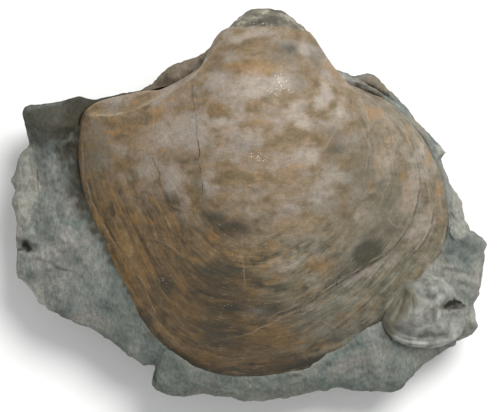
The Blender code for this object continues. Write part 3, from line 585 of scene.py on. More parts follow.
def wrapped(name, rings, low, high, layers):
    """A grid of faces rolled up on to rings of points and closed at the poles, low and high. Each layer is
    an attribute: a number or a vector for each ring point."""
    count, around, _ = rings.shape
    bpy.ops.object.select_all(action="DESELECT")
    bpy.ops.mesh.primitive_grid_add(x_subdivisions=around, y_subdivisions=count + 1, size=2)
    piece = bpy.context.object
    piece.name = piece.data.name = name
    spots = np.empty(len(piece.data.vertices) * 3)
    piece.data.vertices.foreach_get("co", spots)
    spots = spots.reshape(-1, 3)
    column = np.rint((spots[:, 0] + 1) / 2 * around).astype(int) % around
    row = np.rint((spots[:, 1] + 1) / 2 * (count + 1)).astype(int)
    place = np.clip(row - 1, 0, count - 1) * around + column
    points = rings.reshape(-1, 3)[place]
    points[row == 0], points[row == count + 1] = low, high
    piece.data.vertices.foreach_set("co", points.ravel())
    for layer, values in layers.items():
        kind, key = ("FLOAT_VECTOR", "vector") if values.ndim == 2 else ("FLOAT", "value")
        kept = piece.data.attributes.new(layer, kind, "POINT")
        kept.data.foreach_set(key, values[place].astype(np.float32).ravel())
    bpy.ops.object.mode_set(mode="EDIT")
    bpy.ops.mesh.select_all(action="SELECT")
    bpy.ops.mesh.remove_doubles(threshold=1e-7)
    bpy.ops.mesh.normals_make_consistent(inside=False)
    bpy.ops.object.mode_set(mode="OBJECT")
    bpy.ops.object.shade_smooth()
    return piece


def covers(points, marks):
    """One attribute for each named list of patches, whose outlines wander a little."""
    swayed = points.copy()
    for axis in (0, 1):
        swayed[:, axis] += 0.0018 * clouds(points, 0.0055, 41.0 + axis)
        swayed[:, axis] += 0.0006 * clouds(points, 0.0018, 45.0 + axis)
    return {name: cover(swayed, patches) for name, patches in marks.items()}


def near_lines(points, lines):
    """An attribute for drawing lines: distance from the nearest one in millimetres, its strength, and 0."""
    gap, mark = np.full(len(points), LINE_REACH * 2), np.zeros(len(points))
    for strength, line in lines:
        signed, along = trace(points, soften(line))
        here = strength * fading(along, 0.08) * (1 - ease(np.abs(signed), LINE_REACH * 0.6, LINE_REACH))
        closer = np.abs(signed) < np.abs(gap)
        gap, mark = np.where(closer, signed, gap), np.where(closer, here, mark)
    return np.column_stack([gap / MM, mark, np.zeros(len(points))])


def dress(piece, material, node):
    """Gives a finished piece its material, hangs it from the root and hides the solid that it stands for."""
    piece.data.materials.clear()
    piece.data.materials.append(material)
    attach(piece, "root")
    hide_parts(node)


def add(tree, kind, sockets=None, out=0, stops=(), **settings):
    """Adds a shader node of a kind with its settings, gives its sockets values, hex colours or links, and
    returns one output."""
    node = tree.nodes.new("ShaderNode" + kind)
    for name, value in settings.items():
        setattr(node, name, value)
    for socket, value in (sockets or {}).items():
        if isinstance(value, bpy.types.NodeSocket):
            tree.links.new(value, node.inputs[socket])
        elif isinstance(value, str):
            node.inputs[socket].default_value = (*linear(value), 1)
        else:
            node.inputs[socket].default_value = value
    for i, (at, shade) in enumerate(stops):
        stop = node.color_ramp.elements[i] if i < 2 else node.color_ramp.elements.new(at)
        stop.position = at
        stop.color = (*linear(shade), 1)
    return None if out is None else node.outputs[out]


def new_material(name):
    """A material with an empty node tree, and that tree."""
    material = bpy.data.materials.new(name)
    material.use_nodes = True
    material.node_tree.nodes.clear()
    return material, material.node_tree


def patterned(tree, rows):
    """Noise patterns, one for each row: its place, scales along x, y and z, detail, roughness and swirl."""
    found = []
    for place, scales, detail, rough, swirl in rows:
        laid = add(tree, "Mapping", {"Vector": place, "Scale": scales})
        sockets = {"Vector": laid, "Scale": 1, "Detail": detail, "Roughness": rough, "Distortion": swirl}
        found.append(add(tree, "TexNoise", sockets))
    return found


def layered(tree, colour, layers, grain):
    """Lays patches of colour over a colour, where their attributes say, with edges broken by the grain."""
    for name, shade, strength, low, high in layers:
        held = add(tree, "Attribute", out="Fac", attribute_name=name)
        broken = add(tree, "Math", {0: grain, 1: GRAIN_SWAY, 2: held}, operation="MULTIPLY_ADD")
        low, high = low + GRAIN_SWAY / 2, high + GRAIN_SWAY / 2
        mask = add(tree, "MapRange", {0: broken, 1: low, 2: high, 4: strength}, **SMOOTH)
        colour = add(tree, "Mix", {0: mask, 6: colour, 7: (*shade, 1)}, **BLEND)
    return colour


def drawn(tree, colour, strokes, grain):
    """Draws thin lines from line attributes: each stroke has its attribute, its colour, its place across the
    line and its width, both in millimetres, and its strength."""
    faded = add(tree, "MapRange", {0: grain, 1: 0.42, 2: 0.58, 3: 1.0, 4: 0.2})
    for name, shade, at, width, most in strokes:
        held = add(tree, "Attribute", out="Vector", attribute_name=name)
        across, strength = (add(tree, "SeparateXYZ", {0: held}, out=part) for part in "XY")
        off = add(tree, "Math", {0: grain, 1: LINE_WANDER, 2: across}, operation="MULTIPLY_ADD")
        off = add(tree, "Math", {0: off, 1: at + LINE_WANDER / 2}, operation="SUBTRACT")
        off = add(tree, "Math", {0: off}, operation="ABSOLUTE")
        here = add(tree, "MapRange", {0: off, 2: width, 3: most, 4: 0.0}, **SMOOTH)
        for share in (strength, faded):
            here = add(tree, "Math", {0: here, 1: share}, operation="MULTIPLY")
        colour = add(tree, "Mix", {0: here, 6: colour, 7: shade}, **BLEND)
    return colour


def finish_material(tree, colour, roughness, gloss, height, depth):
    """Bump from a height, and the shader and output that end a material."""
    bump = add(tree, "Bump", {"Strength": 1.0, "Distance": depth, "Height": height})
    sockets = {"Base Color": colour, "Roughness": roughness, "Normal": bump, "Specular IOR Level": gloss}
    add(tree, "OutputMaterial", {"Surface": add(tree, "BsdfPrincipled", sockets)}, out=None)


def calcite_shell(look):
    """Worn fossil calcite: growth bands of tan, rust and olive brown with milky lilac patches and dark
    stains, with painted shade on the lower slopes and edge, painted glints, and painted light and shade at
    the ridge and the growth ledges, which gives a satin, layered surface with fine lines along the growth
    rings."""
    material, tree = new_material("worn fossil calcite")
    spot = add(tree, "TexCoord", out="Object")
    rings = add(tree, "Attribute", out="Vector", attribute_name="ring_place")
    # Along the growth lines: bands of 4 by 15 mm, blots of 3 by 7 mm, streaks of 1 by 6 mm, lines 0.5 mm
    # apart and ticks of 0.4 by 2.4 mm. Across the worn upper part: rows of mottles, 8 by 5 and 3 by 2 mm.
    # All over: mottles from 4 mm down, grit of 1 mm and specks of 0.4 mm, coarser than real grains to show
    bands, blots, streaks, lines, ticks, broad_rows, small_rows, mottle, grit, speck = patterned(tree, (
        (rings, (65, 65, 240), 5, 0.5, 0.7),
        (rings, (140, 140, 350), 3, 0.5, 0.5),
        (rings, (160, 160, 950), 3, 0.5, 0.6),
        (rings, (90, 90, 2000), 2, 0.5, 0),
        (rings, (420, 420, 2400), 2, 0.5, 0),
        (spot, (125, 210, 125), 5, 0.5, 0.4),
        (spot, (330, 520, 330), 5, 0.5, 0.4),
        (spot, (250, 250, 250), 6, 0.6, 0),
        (spot, (900, 900, 900), 4, 0.65, 0),
        (spot, (2600, 2600, 2600), 2, 0.6, 0),
    ))
    tone = soft = 0.0
    for pattern, share in ((bands, 0.34), (mottle, 0.34), (streaks, 0.12), (small_rows, 0.20)):
        tone = add(tree, "Math", {0: pattern, 1: share, 2: tone}, operation="MULTIPLY_ADD")
    for pattern, share in ((broad_rows, 0.50), (small_rows, 0.32), (mottle, 0.18)):
        soft = add(tree, "Math", {0: pattern, 1: share, 2: soft}, operation="MULTIPLY_ADD")
    old, grey, bare, deep_brown_and_shade, glint = (
        add(tree, "Attribute", out="Fac", attribute_name=name)
        for name in ("old", "grey_side", "bare", "deep_brown_and_shade", "glint")
    )
    # Dark to pale: brown, drab and worn shell, and the rough skin of the cap
    ramps = (
        (tone, (0.40, 0.45, 0.50, 0.54, 0.60), ("#40382A", "#584931", "#68553A", "#755F41", "#8A7555")),
        (tone, (0.41, 0.46, 0.50, 0.54, 0.60), ("#4A483D", "#5E5B4D", "#6C6858", "#767366", "#8B8677")),
        (soft, (0.39, 0.45, 0.50, 0.55, 0.61), ("#65573F", "#75634A", "#7D6E5A", "#84786B", "#8F8880")),
        (mottle, (0.38, 0.47, 0.54, 0.63), ("#47433A", "#5D584B", "#706A5D", "#958F80")),
    )
    brown, drab, worn, rough_skin = (
        add(tree, "ValToRGB", {0: over}, stops=zip(places, shades)) for over, places, shades in ramps
    )
    young = add(tree, "Mix", {0: grey, 6: brown, 7: drab}, **BLEND)
    colour = add(tree, "Mix", {0: old, 6: young, 7: worn}, **BLEND)
    # Rust runs along the growth lines, and in rows where the shell is worn
    rust_place = add(tree, "Mix", {0: old, 2: blots, 3: small_rows}, data_type="FLOAT")
    most = add(tree, "MapRange", {0: grey, 3: 0.74, 4: 0.25})
    rusty = add(tree, "MapRange", {0: rust_place, 1: 0.50, 2: 0.65, 4: most}, **SMOOTH)
    colour = add(tree, "Mix", {0: rusty, 6: colour, 7: (*look.rust, 1)}, **BLEND)
    # Attribute, colour, strength, and where it begins and is full
    layers = (
        ("olive", look.olive, 0.60, 0.15, 0.95),
        ("warm", look.rust, 0.65, 0.15, 0.90),
        ("lilac", look.lilac, 0.80, 0.05, 0.95),
        # Dark stains, with painted shade on the lower slopes and the bottom edge
        ("grime_and_shade", look.grime_and_shade, 0.85, 0.15, 1.05),
    )
    colour = layered(tree, colour, layers, soft)
    colour = add(tree, "Mix", {0: bare, 6: colour, 7: rough_skin}, **BLEND)
    # Darkens the deeper brown lower parts, with painted shade on the lower slopes and bottom edge
    value = add(tree, "MapRange", {0: deep_brown_and_shade, 3: 1.0, 4: 0.52})
    colour = add(tree, "VectorMath", {0: colour, "Scale": value}, operation="SCALE")
    # Tiny pale ticks on the younger part
    fresh = add(tree, "MapRange", {0: old, 3: 1.0, 4: 0.0})
    tick = add(tree, "MapRange", {0: ticks, 1: 0.65, 2: 0.73, 4: 0.5}, **SMOOTH)
    tick = add(tree, "Math", {0: tick, 1: fresh}, operation="MULTIPLY")
    colour = add(tree, "Mix", {0: tick, 6: colour, 7: "#9F917A"}, **BLEND)
    # Fine pale and dark lines, faint where the shell is worn, and grit all over
    calm = add(tree, "MapRange", {0: old, 3: 1.0, 4: 0.15})
    swings = ((lines, 0.45, calm), (streaks, 0.36, calm), (grit, 0.80, 1.0), (speck, 0.45, 1.0))
    for pattern, swing, share in swings:
        off = add(tree, "Math", {0: pattern, 1: 0.5}, operation="SUBTRACT")
        off = add(tree, "Math", {0: off, 1: swing}, operation="MULTIPLY")
        off = add(tree, "Math", {0: off, 1: share, 2: 1.0}, operation="MULTIPLY_ADD")
        colour = add(tree, "VectorMath", {0: colour, "Scale": off}, operation="SCALE")
    strokes = (
        ("vein", "#A2957F", 0.0, 0.28, 0.50),
        # Painted shadow just outside each growth ledge, and a painted highlight on its edge
        ("ledge", "#38332A", -0.25, 0.40, 0.60),
        ("ledge", "#978A74", 0.25, 0.35, 0.30),
        ("crack", "#2B281F", 0.0, 0.24, 0.80),
        # Painted highlight on the ridge, and painted shade in the groove beyond it
        ("crest", "#A3967F", 0.0, 0.50, 0.65),
        ("crest", "#3B362B", 1.5, 0.60, 0.60),
    )
    colour = drawn(tree, colour, strokes, mottle)
    # Painted glints: pale specks where tiny calcite crystals catch the light
    chance = add(tree, "Math", {0: glint, 1: 0.16, 2: speck}, operation="MULTIPLY_ADD")
    spark = add(tree, "MapRange", {0: chance, 1: 0.76, 2: 0.82})
    colour = add(tree, "Mix", {0: spark, 6: colour, 7: "#D8D4C8"}, **BLEND)
    rough = add(tree, "MapRange", {0: mottle, 1: 0.3, 2: 0.7, 3: 0.50, 4: 0.68})
    relief = add(tree, "Math", {0: lines, 1: speck}, operation="ADD")
    finish_material(tree, colour, rough, 0.30, relief, look.line_depth)
    return material


def mudstone(look):
    """Mudstone, broken and weathered: dull grey with warm, bluish and greenish patches, a brown weathered
    corner, dark stains and painted shade in hollows, pits, grooves, along lines and beside the valve, which
    gives a soft matte surface with a fine silty grain."""
    material, tree = new_material("broken mudstone")
    spot = add(tree, "TexCoord", out="Object")
    slant = {"Vector": spot, "Rotation": (0, 0, math.radians(38)), "Scale": (1500, 700, 1100)}
    # Mottles from 5 mm down, blotches of 12 mm, and slanting silt of 0.8 mm, coarser than real silt to show
    mottle, blotch, silt = patterned(tree, (
        (spot, (220, 220, 220), 8, 0.7, 0),
        (spot, (80, 80, 80), 5, 0.5, 0.8),
        (add(tree, "Mapping", slant), (1, 1, 1), 4, 0.7, 0),
    ))
    stops = ((0.36, "#626863"), (0.45, "#70746E"), (0.52, "#797A72"), (0.62, "#88857D"))
    colour = add(tree, "ValToRGB", {0: blotch}, stops=stops)
    layers = (
        ("blue", look.blue_stone, 0.70, 0.10, 0.90),
        ("green", look.green_stone, 0.80, 0.10, 0.90),
        ("warm", look.warm_stone, 0.70, 0.10, 0.90),
        ("pale", look.pale_stone, 0.80, 0.20, 0.80),
        ("tan", look.tan_stone, 0.85, 0.15, 0.70),
        ("brown", look.brown_stone, 0.95, 0.15, 0.65),
        # Dark stains, and painted shade in hollows, pits, grooves and beside the valve
        ("dark", look.dark_stain_and_shade, 0.90, 0.20, 1.00),
    )
    colour = layered(tree, colour, layers, mottle)
    # Dark joints, and painted shadow lines along the knob's cut and a step
    colour = drawn(tree, colour, (("joint_and_shadow", "#2F2E27", 0.0, 0.35, 0.70),), mottle)
    for pattern, swing in ((mottle, 0.32), (silt, 0.30)):
        value = add(tree, "MapRange", {0: pattern, 1: 0.30, 2: 0.70, 3: 1 - swing, 4: 1 + swing})
        colour = add(tree, "VectorMath", {0: colour, "Scale": value}, operation="SCALE")
    relief = add(tree, "Math", {0: silt, 1: 0.25, 2: mottle}, operation="MULTIPLY_ADD")
    finish_material(tree, colour, 0.88, 0.15, relief, look.grain_depth)
    return material


def oyster_shell(look):
    """Small oyster shell, thick and crumpled: pinkish grey calcite with a whitish lip and a brown, dirty
    side, with painted shade in its broken beak and creases and a painted glint on one knob, which gives a
    dull, uneven surface."""
    material, tree = new_material("crumpled oyster shell")
    spot = add(tree, "TexCoord", out="Object")
    # Mottles of 2 mm and specks of 0.4 mm
    mottle, speck = patterned(tree, (
        (spot, (420, 420, 420), 6, 0.55, 0),
        (spot, (2400, 2400, 2400), 2, 0.6, 0),
    ))
    stops = ((0.35, "#6E6B62"), (0.50, "#7E7F78"), (0.65, "#8B8C86"))
    colour = add(tree, "ValToRGB", {0: mottle}, stops=stops)
    layers = (
        ("brown", look.oyster_brown, 0.85, 0.15, 0.85),
        ("pale", look.oyster_lip, 0.65, 0.15, 1.10),
        # Painted shade in the broken beak's hole and the grooves
        ("dark", look.dark_stain_and_shade, 0.85, 0.25, 0.85),
    )
    colour = layered(tree, colour, layers, mottle)
    # Dark lines painted as shade in the creases and grooves
    colour = drawn(tree, colour, (("crease_shade", "#3A3B33", 0.0, 0.30, 0.80),), mottle)
    value = add(tree, "MapRange", {0: mottle, 1: 0.30, 2: 0.70, 3: 0.88, 4: 1.12})
    colour = add(tree, "VectorMath", {0: colour, "Scale": value}, operation="SCALE")
    relief = add(tree, "Math", {0: speck, 1: 0.5, 2: mottle}, operation="MULTIPLY_ADD")
    finish_material(tree, colour, 0.62, 0.25, relief, look.line_depth)
    return material


def ring_scales(rim, count):
    """Growth rings an even distance apart along the valve's longest side, and that side's length."""
    fine = np.linspace(1, BEAK_SCALE, 400)
    lowest = np.argmin(rim[:, 1])
    path = np.array([growth_ring(rim[lowest : lowest + 1], scale)[0] for scale in fine])
    grown = np.concatenate([[0], np.cumsum(np.linalg.norm(np.diff(path, axis=0), axis=1))])
    return np.interp(np.linspace(0, grown[-1], count), grown, fine), grown[-1]


def grown_inward(points, rim, ring_share, length):
    """How far each point lies from the rim along the growth: outside the beak by its place from above
    between the beak's root and the rim, and on the beak by its ring."""
    away = points[:, :2] - GROWTH_ROOT
    edge = same_bearing(rim + HINGE - GROWTH_ROOT, away)
    share = np.linalg.norm(away, axis=1) / np.linalg.norm(edge, axis=1)
    outer = ease(share, 0.30, 0.58) * (1 - ease(points[:, 1], 0.022, 0.033))
    return (1 - ring_share - outer * (share - ring_share)) * length / (1 - BEAK_SCALE)


def valve_relief(points, place, look):
    """Heights of the valve's growth pauses, growth lines, ridge, groove, worn cap and slow swellings, and
    where the cap is bare."""
    x, y = points[:, 0], points[:, 1]
    height = look.swell_height * clouds(points, 0.014, 4.0)
    wander = 0.0004 * clouds(points, 0.004, 11.0)
    uneven = (0.7 + 0.5 * clouds(points, 0.009, 17.0)) * (1 - ease(y, 0.036, 0.041))
    for step, run, line in PAUSES:
        signed, along = trace(points, soften(line))
        signed = signed + wander
        older = ease(signed, -0.0003, 0.0003) * np.exp(-np.maximum(signed, 0) / (run * MM))
        height += step * MM * older * fading(along, 0.12) * uneven
    stretch = np.array([0.020, 0.020, 0.0016])
    fresh = look.growth_relief * (1 - 0.75 * ease(y + 0.25 * x, -0.010, 0.012))
    height += fresh * (clouds(place, stretch, 2.0) + 0.5 * clouds(place, stretch * 0.55, 6.0))
    height += 0.00006 * clouds(points, 0.0016, 13.0)
    signed, along = trace(points, soften(RIDGE))
    crest = swell(signed, np.where(signed < 0, 0.0018, 0.0007)) - 0.9 * swell(signed - 0.0018, 0.0009)
    height += 0.0008 * crest * ease(along, 0.0, 0.06) * (1 - ease(along, 0.93, 1.0))
    signed, along = trace(points, soften(GROOVE))
    height -= 0.0009 * swell(signed, 0.0007) * ease(along, 0.0, 0.3)
    signed, _ = trace(points, soften(CAP_EDGE))
    bare = ease(signed + 0.0004 * clouds(points, 0.002, 31.0), -0.0001, 0.0003) * ease(y, 0.040, 0.042)
    height -= bare * (0.0003 + 0.00025 * clouds(points, 0.0012, 37.0))
    return height, bare


def build_valve(look):
    """The big valve: a grid rolled on to its growth rings, raised into ledges and lines, with its cracks
    drawn.
    """
    rim = closed_curve(RIM, VALVE_AROUND)
    scales, side_length = ring_scales(rim, VALVE_RINGS)
    rings = np.array([growth_ring(rim, scale) for scale in scales])
    flat = rings.reshape(-1, 3)
    turn = np.linspace(0, 2 * math.pi, VALVE_AROUND, endpoint=False)
    girth = np.linalg.norm(np.diff(rim, axis=0), axis=1).sum() / (2 * math.pi)
    circle = girth * np.column_stack([np.cos(turn), np.sin(turn)])
    inward = grown_inward(flat, rim, np.repeat(scales, VALVE_AROUND), side_length)
    inward += 0.0009 * clouds(flat, 0.010, 51.0) + 0.0003 * clouds(flat, 0.003, 53.0)
    place = np.column_stack([np.tile(circle, (VALVE_RINGS, 1)), inward])
    height, bare = valve_relief(flat, place, look)
    rings = rings + outward(rings) * height.reshape(VALVE_RINGS, VALVE_AROUND, 1)
    end = rings[-1]
    middle = end.mean(axis=0)
    onward = middle - rings[-2].mean(axis=0)
    onward /= np.linalg.norm(onward)
    angles = np.linspace(0, math.pi / 2, TIP_RINGS + 2)[1:-1]
    tip = [middle + (end - middle) * math.cos(a) + onward * BEAK_BLUNT * math.sin(a) for a in angles]
    foot = rings[0].copy()
    foot[:, 2] = SHELL_EDGE_HEIGHT - SHELL_EMBED
    every = np.concatenate([[foot], rings, tip])
    near_tip = ease(every[:, :, 1], *TIP_REACH)
    every[:, :, 0] += TIP_BROADER * near_tip * np.tanh((every[:, :, 0] - TIP_MIDDLE) / TIP_ROUND)
    every[:, :, 1] += TIP_LONGER * near_tip
    points = every.reshape(-1, 3)
    layers = covers(points, SHELL_MARKS)
    rows = np.concatenate([[0], np.arange(VALVE_RINGS), np.full(TIP_RINGS, VALVE_RINGS - 1)])
    layers["ring_place"] = place.reshape(VALVE_RINGS, VALVE_AROUND, 3)[rows].reshape(-1, 3)
    layers["bare"] = bare.reshape(VALVE_RINGS, VALVE_AROUND)[rows].ravel()
    # Painted shadow in a thin broken band along the valve's edge, where it meets the stone
    edge_shadow = swell(layers["ring_place"][:, 2], EDGE_SHADOW_REACH) * (0.7 + 0.8 * clouds(points, 0.004, 63.0))
    layers["grime_and_shade"] = np.maximum(layers["grime_and_shade"], edge_shadow)
    ledges = [(min(1.0, step * 2.2), line) for step, _, line in PAUSES]
    for name, lines in (("ledge", ledges), ("crack", CRACKS), ("vein", VEINS), ("crest", ((1.0, RIDGE),))):
        layers[name] = near_lines(points, lines)
    x, y = points[:, 0], points[:, 1]
    sway = 0.003 * clouds(points, 0.008, 61.0)
    layers["old"] = ease(y + 0.25 * x + sway, -0.012, 0.010) * (1 - 0.6 * ease(x + sway, 0.020, 0.034))
    layers["grey_side"] = ease(x + 0.35 * y + sway, -0.012, 0.014)
    piece = wrapped("large_shell_skin", every, foot.mean(axis=0), middle + onward * BEAK_BLUNT, layers)
    dress(piece, calcite_shell(look), "large_shell")


def chipped(points, spacing, depth, seed):
    """Heights of a surface broken into shallow scoops that meet in ridges, about this far apart."""
    rng = np.random.default_rng(seed)
    low, high = points.min(axis=0) - spacing, points.max(axis=0) + spacing
    centres = rng.uniform(low, high, (int(np.prod((high - low) / spacing)), 3))
    offsets = rng.uniform(0, depth, len(centres))
    tree = KDTree(len(centres))
    for i, centre in enumerate(centres):
        tree.insert(centre, i)
    tree.balance()
    bowl = depth / (spacing * 0.6) ** 2
    scoops = np.array([
        min(offsets[i] + bowl * gap * gap for _, i, gap in tree.find_n(spot, 6)) for spot in points.tolist()
    ])
    return scoops - scoops.mean()


def same_bearing(line, points):
    """For each point, the point of the closed line that lies in the same direction from the origin."""
    bearing = np.arctan2(line[:, 1], line[:, 0])
    order = np.argsort(bearing)
    radius = np.hypot(line[:, 0], line[:, 1])[order]
    wanted = np.arctan2(points[:, 1], points[:, 0])
    found = np.interp(wanted, bearing[order], radius, period=2 * math.pi)
    return found[:, None] * points / np.hypot(points[:, 0], points[:, 1])[:, None]


def stone_top(level, rim_height, climb):
    """Height of the stone's top, with its rises, hollows, steps and the scrap of shell."""
    flat = raised(level)
    height = rim_height + (STONE_CONTACT - rim_height) * climb
    height += 0.0007 * clouds(raised(level / 0.008, 7.0), 1.0)
    swayed = flat + 0.0007 * np.column_stack([clouds(flat, 0.0025, seed) for seed in (72.0, 74.0, 76.0)])
    height += mounds(swayed, STONE_RELIEF)
    wander = 0.0004 * clouds(flat, 0.003, 71.0)
    for drop, run, line in STONE_STEPS:
        signed, along = trace(flat, soften(line))
        below = -signed - wander
        fall = ease(below, -0.0001, 0.0004) * np.exp(-np.maximum(below, 0) / (run * MM))
        height -= drop * MM * fall * fading(along, 0.15)
    for fold, width, line in STONE_RIPPLES:
        signed, along = trace(flat, soften(line))
        height += fold * MM * swell(signed, width * MM) * fading(along, 0.2)
    signed, _ = trace(flat, soften(KNOB_LINE))
    height -= KNOB_CUT * swell(signed, KNOB_CUT / 2)
    x, y, radius = DISC
    away = np.hypot(level[:, 0] / MM - x, level[:, 1] / MM - y) / radius
    height += 0.0005 * (1 - ease(away, 0.92, 1.05)) + 0.0003 * swell(away - 0.85, 0.12)
    return height


def build_stone(look):
    """The mudstone block: a grid rolled on to its broken outline, with its top, sides and flat foot."""
    edge = evenly(np.array(BLOCK)[::-1] * MM, STONE_AROUND)
    jags = 0.00035 * clouds(raised(edge), 0.0026, 81.0) + 0.00015 * clouds(raised(edge), 0.0009, 83.0)
    edge = edge + edge / np.linalg.norm(edge, axis=1)[:, None] * jags[:, None]
    contact = same_bearing(growth_ring(closed_curve(RIM, STONE_AROUND), CONTACT_SCALE), edge)
    rim_height = STONE_RIM - STONE_RIM_SWAY * np.cos(np.arctan2(edge[:, 1], edge[:, 0]))
    rim_height += 0.0016 * clouds(raised(edge / 0.012, 3.0), 1.0)
    rim_height += np.maximum(edge[:, 1] - HINGE[1], 0) * STONE_BACK_RISE
    rings = [raised(edge * share) for share in STONE_FOOT]
    shares, levels = np.array(STONE_SIDES).T
    for level in np.linspace(0, 1, STONE_SIDE_RINGS):
        rings.append(raised(edge * np.interp(level, levels, shares), rim_height * level))
    for inward in np.linspace(0, 1, STONE_TOP_RINGS)[1:]:
        level = edge + (contact - edge) * inward
        sunk = SEAM_SINK * swell(np.linalg.norm(contact - level, axis=1), 0.0011)
        rings.append(raised(level, stone_top(level, rim_height, inward**STONE_SLOPE) - sunk))
    for inward in STONE_UNDER:
        rings.append(raised(edge + (contact - edge) * inward, SHELL_EDGE_HEIGHT))
    rings = np.array(rings)
    flat = rings.reshape(-1, 3)
    side = 1 - ease(flat[:, 2], 0.008, 0.014)
    chips = chipped(flat, 0.009, look.chip_depth, 5) + chipped(flat, 0.0035, look.chip_depth * 0.35, 9)
    grain = 0.00016 * clouds(flat, 0.0022, 87.0) + 0.00012 * clouds(flat, 0.0011, 89.0)
    facets = np.minimum(chipped(flat, 0.013, look.chip_depth * 3, 7), 0.0002)
    broken = 0.0012 * clouds(flat, 0.009, 91.0) + facets
    push = (chips * 0.45 + grain + broken * side) * ease(flat[:, 2], 0.0, 0.002)
    flat = flat + outward(rings).reshape(-1, 3) * push[:, None]
    flat[:, 2] = np.maximum(flat[:, 2], 0)
    rings = flat.reshape(rings.shape)
    layers = covers(flat, STONE_MARKS)
    layers["joint_and_shadow"] = near_lines(flat, STONE_JOINTS_AND_SHADOWS)
    x, y = flat[:, 0], flat[:, 1]
    gap = np.linalg.norm(rings[:, :, :2] - contact, axis=2).ravel()
    # Painted shadow in the seam round the valve
    seam = 0.9 * swell(gap, SEAM_SHADOW_REACH) * (0.7 + 0.6 * clouds(flat, 0.006, 93.0))
    # A dark strip lies along the valve's left edge, broader and darker above: the stone's own dark rough
    # surface, with painted shadow beside the valve
    dark_strip_and_shadow = swell(gap, 0.0028 + 0.0030 * ease(y, -0.012, 0.004)) * ease(-x, 0.022, 0.030)
    dark_strip_and_shadow *= (0.60 + 0.40 * ease(y, -0.012, -0.001)) * (1.15 + 0.7 * clouds(flat, 0.0016, 94.0))
    layers["dark"] = np.max([layers["dark"], seam, dark_strip_and_shadow], axis=0)
    piece = wrapped("mudstone_block", rings, (0, 0, 0), (0, 0, SHELL_EDGE_HEIGHT), layers)
    dress(piece, mudstone(look), "mudstone_matrix")


def build_oyster(look):
    """The small oyster: a grid rolled on to rings that grow from its broken beak, crumpled and sunk into
    the stone."""
    edge = closed_curve(OYSTER_EDGE, OYSTER_AROUND)
    edge = edge + 0.0004 * np.column_stack([clouds(raised(edge), 0.0022, seed) for seed in (15.0, 16.0)])
    beak = np.array(OYSTER_BEAK) * MM
    scales = np.linspace(1, 0.02, OYSTER_RINGS)
    level = (beak + (edge - beak) * scales[:, None, None]).reshape(-1, 2)
    flat = raised(level)
    inside = np.abs(trace(flat, np.vstack([edge, edge[:1]]))[0])
    softness = 0.0018 + 0.0026 * ease(level[:, 0], 0.044, 0.054)
    height = OYSTER_RIM + OYSTER_RISE * (1 - np.exp(-inside / softness))
    height += (level - OYSTER_MIDDLE) @ OYSTER_LEAN
    height += mounds(flat, OYSTER_RELIEF) * ease(inside, 0.0, 0.0012)
    wander = 0.0003 * clouds(flat, 0.0020, 99.0)
    for fold, width, line in OYSTER_FOLDS:
        signed, along = trace(flat, soften(line))
        height += fold * MM * swell(signed + wander, width * MM) * fading(along, 0.15)
    x, y = level.T - np.array(OYSTER_FACET)[:, None] * MM
    calm = 1 - 0.8 * swell(np.hypot(x, y), 0.003)
    height += calm * (0.00030 * clouds(flat, 0.0035, 95.0) + 0.00014 * clouds(flat, 0.0013, 97.0))
    foot = raised(edge, (edge - OYSTER_MIDDLE) @ OYSTER_LEAN - OYSTER_EMBED)
    points = np.vstack([foot, raised(level, height)]) + (0, 0, OYSTER_SEAT)
    layers = covers(points, OYSTER_MARKS)
    layers["crease_shade"] = near_lines(points, OYSTER_CREASE_SHADE)
    rings = points.reshape(-1, OYSTER_AROUND, 3)
    piece = wrapped("small_oyster_shell", rings, rings[0].mean(axis=0), rings[-1].mean(axis=0), layers)
    dress(piece, oyster_shell(look), "small_oyster")


def build_studio(look):
    """A pale floor, soft light from behind the beak's right side, and the camera over the fossil."""
    bpy.ops.object.select_all(action="DESELECT")
    bpy.ops.mesh.primitive_plane_add(size=8, location=(0, 0, -0.00005))
    floor = bpy.context.object
    floor.name = "pale_floor"
    material, tree = new_material("matt white paper")
    paper = add(tree, "BsdfPrincipled", {"Base Color": "#F4F4F2", "Roughness": 0.9})
    add(tree, "OutputMaterial", {"Surface": paper}, out=None)
    floor.data.materials.append(material)
    for name, spot, size, power in LAMPS:
        bpy.ops.object.light_add(type="AREA", location=spot)
        lamp = bpy.context.object
        lamp.name = name
        lamp.rotation_euler = (-Vector(spot)).to_track_quat("-Z", "Y").to_euler()
        lamp.data.shape = "DISK"
        lamp.data.size = size
        lamp.data.energy = power * look.light
    world = bpy.data.worlds.new("soft white room")
    world.use_nodes = True
    world.node_tree.nodes["Background"].inputs["Color"].default_value = (*linear("#F7F8FA"), 1)
    world.node_tree.nodes["Background"].inputs["Strength"].default_value = ROOM_LIGHT * look.light
    bpy.context.scene.world = world
    bpy.context.scene.view_settings.view_transform = "Standard"
    bpy.ops.object.camera_add(location=CAMERA_PLACE, rotation=(0, 0, 0))
    camera = bpy.context.object
    camera.data.lens = CAMERA_LENS
    camera.data.sensor_width = 36
    camera.data.clip_start, camera.data.clip_end = 0.05, 20
    bpy.context.scene.camera = camera


def shade(name, description, hex_colour):
    """A colour that the user can change, given as sRGB hex."""
    return FloatVectorProperty(
        name=name, description=description, subtype="COLOR", size=3, min=0, max=1, default=linear(hex_colour)
    )


def length(name, description, value):
    """A small length that the user can change."""
    return FloatProperty(
        name=name, description=description, min=0, default=value, precision=6, subtype="DISTANCE",
        unit="LENGTH",
    )


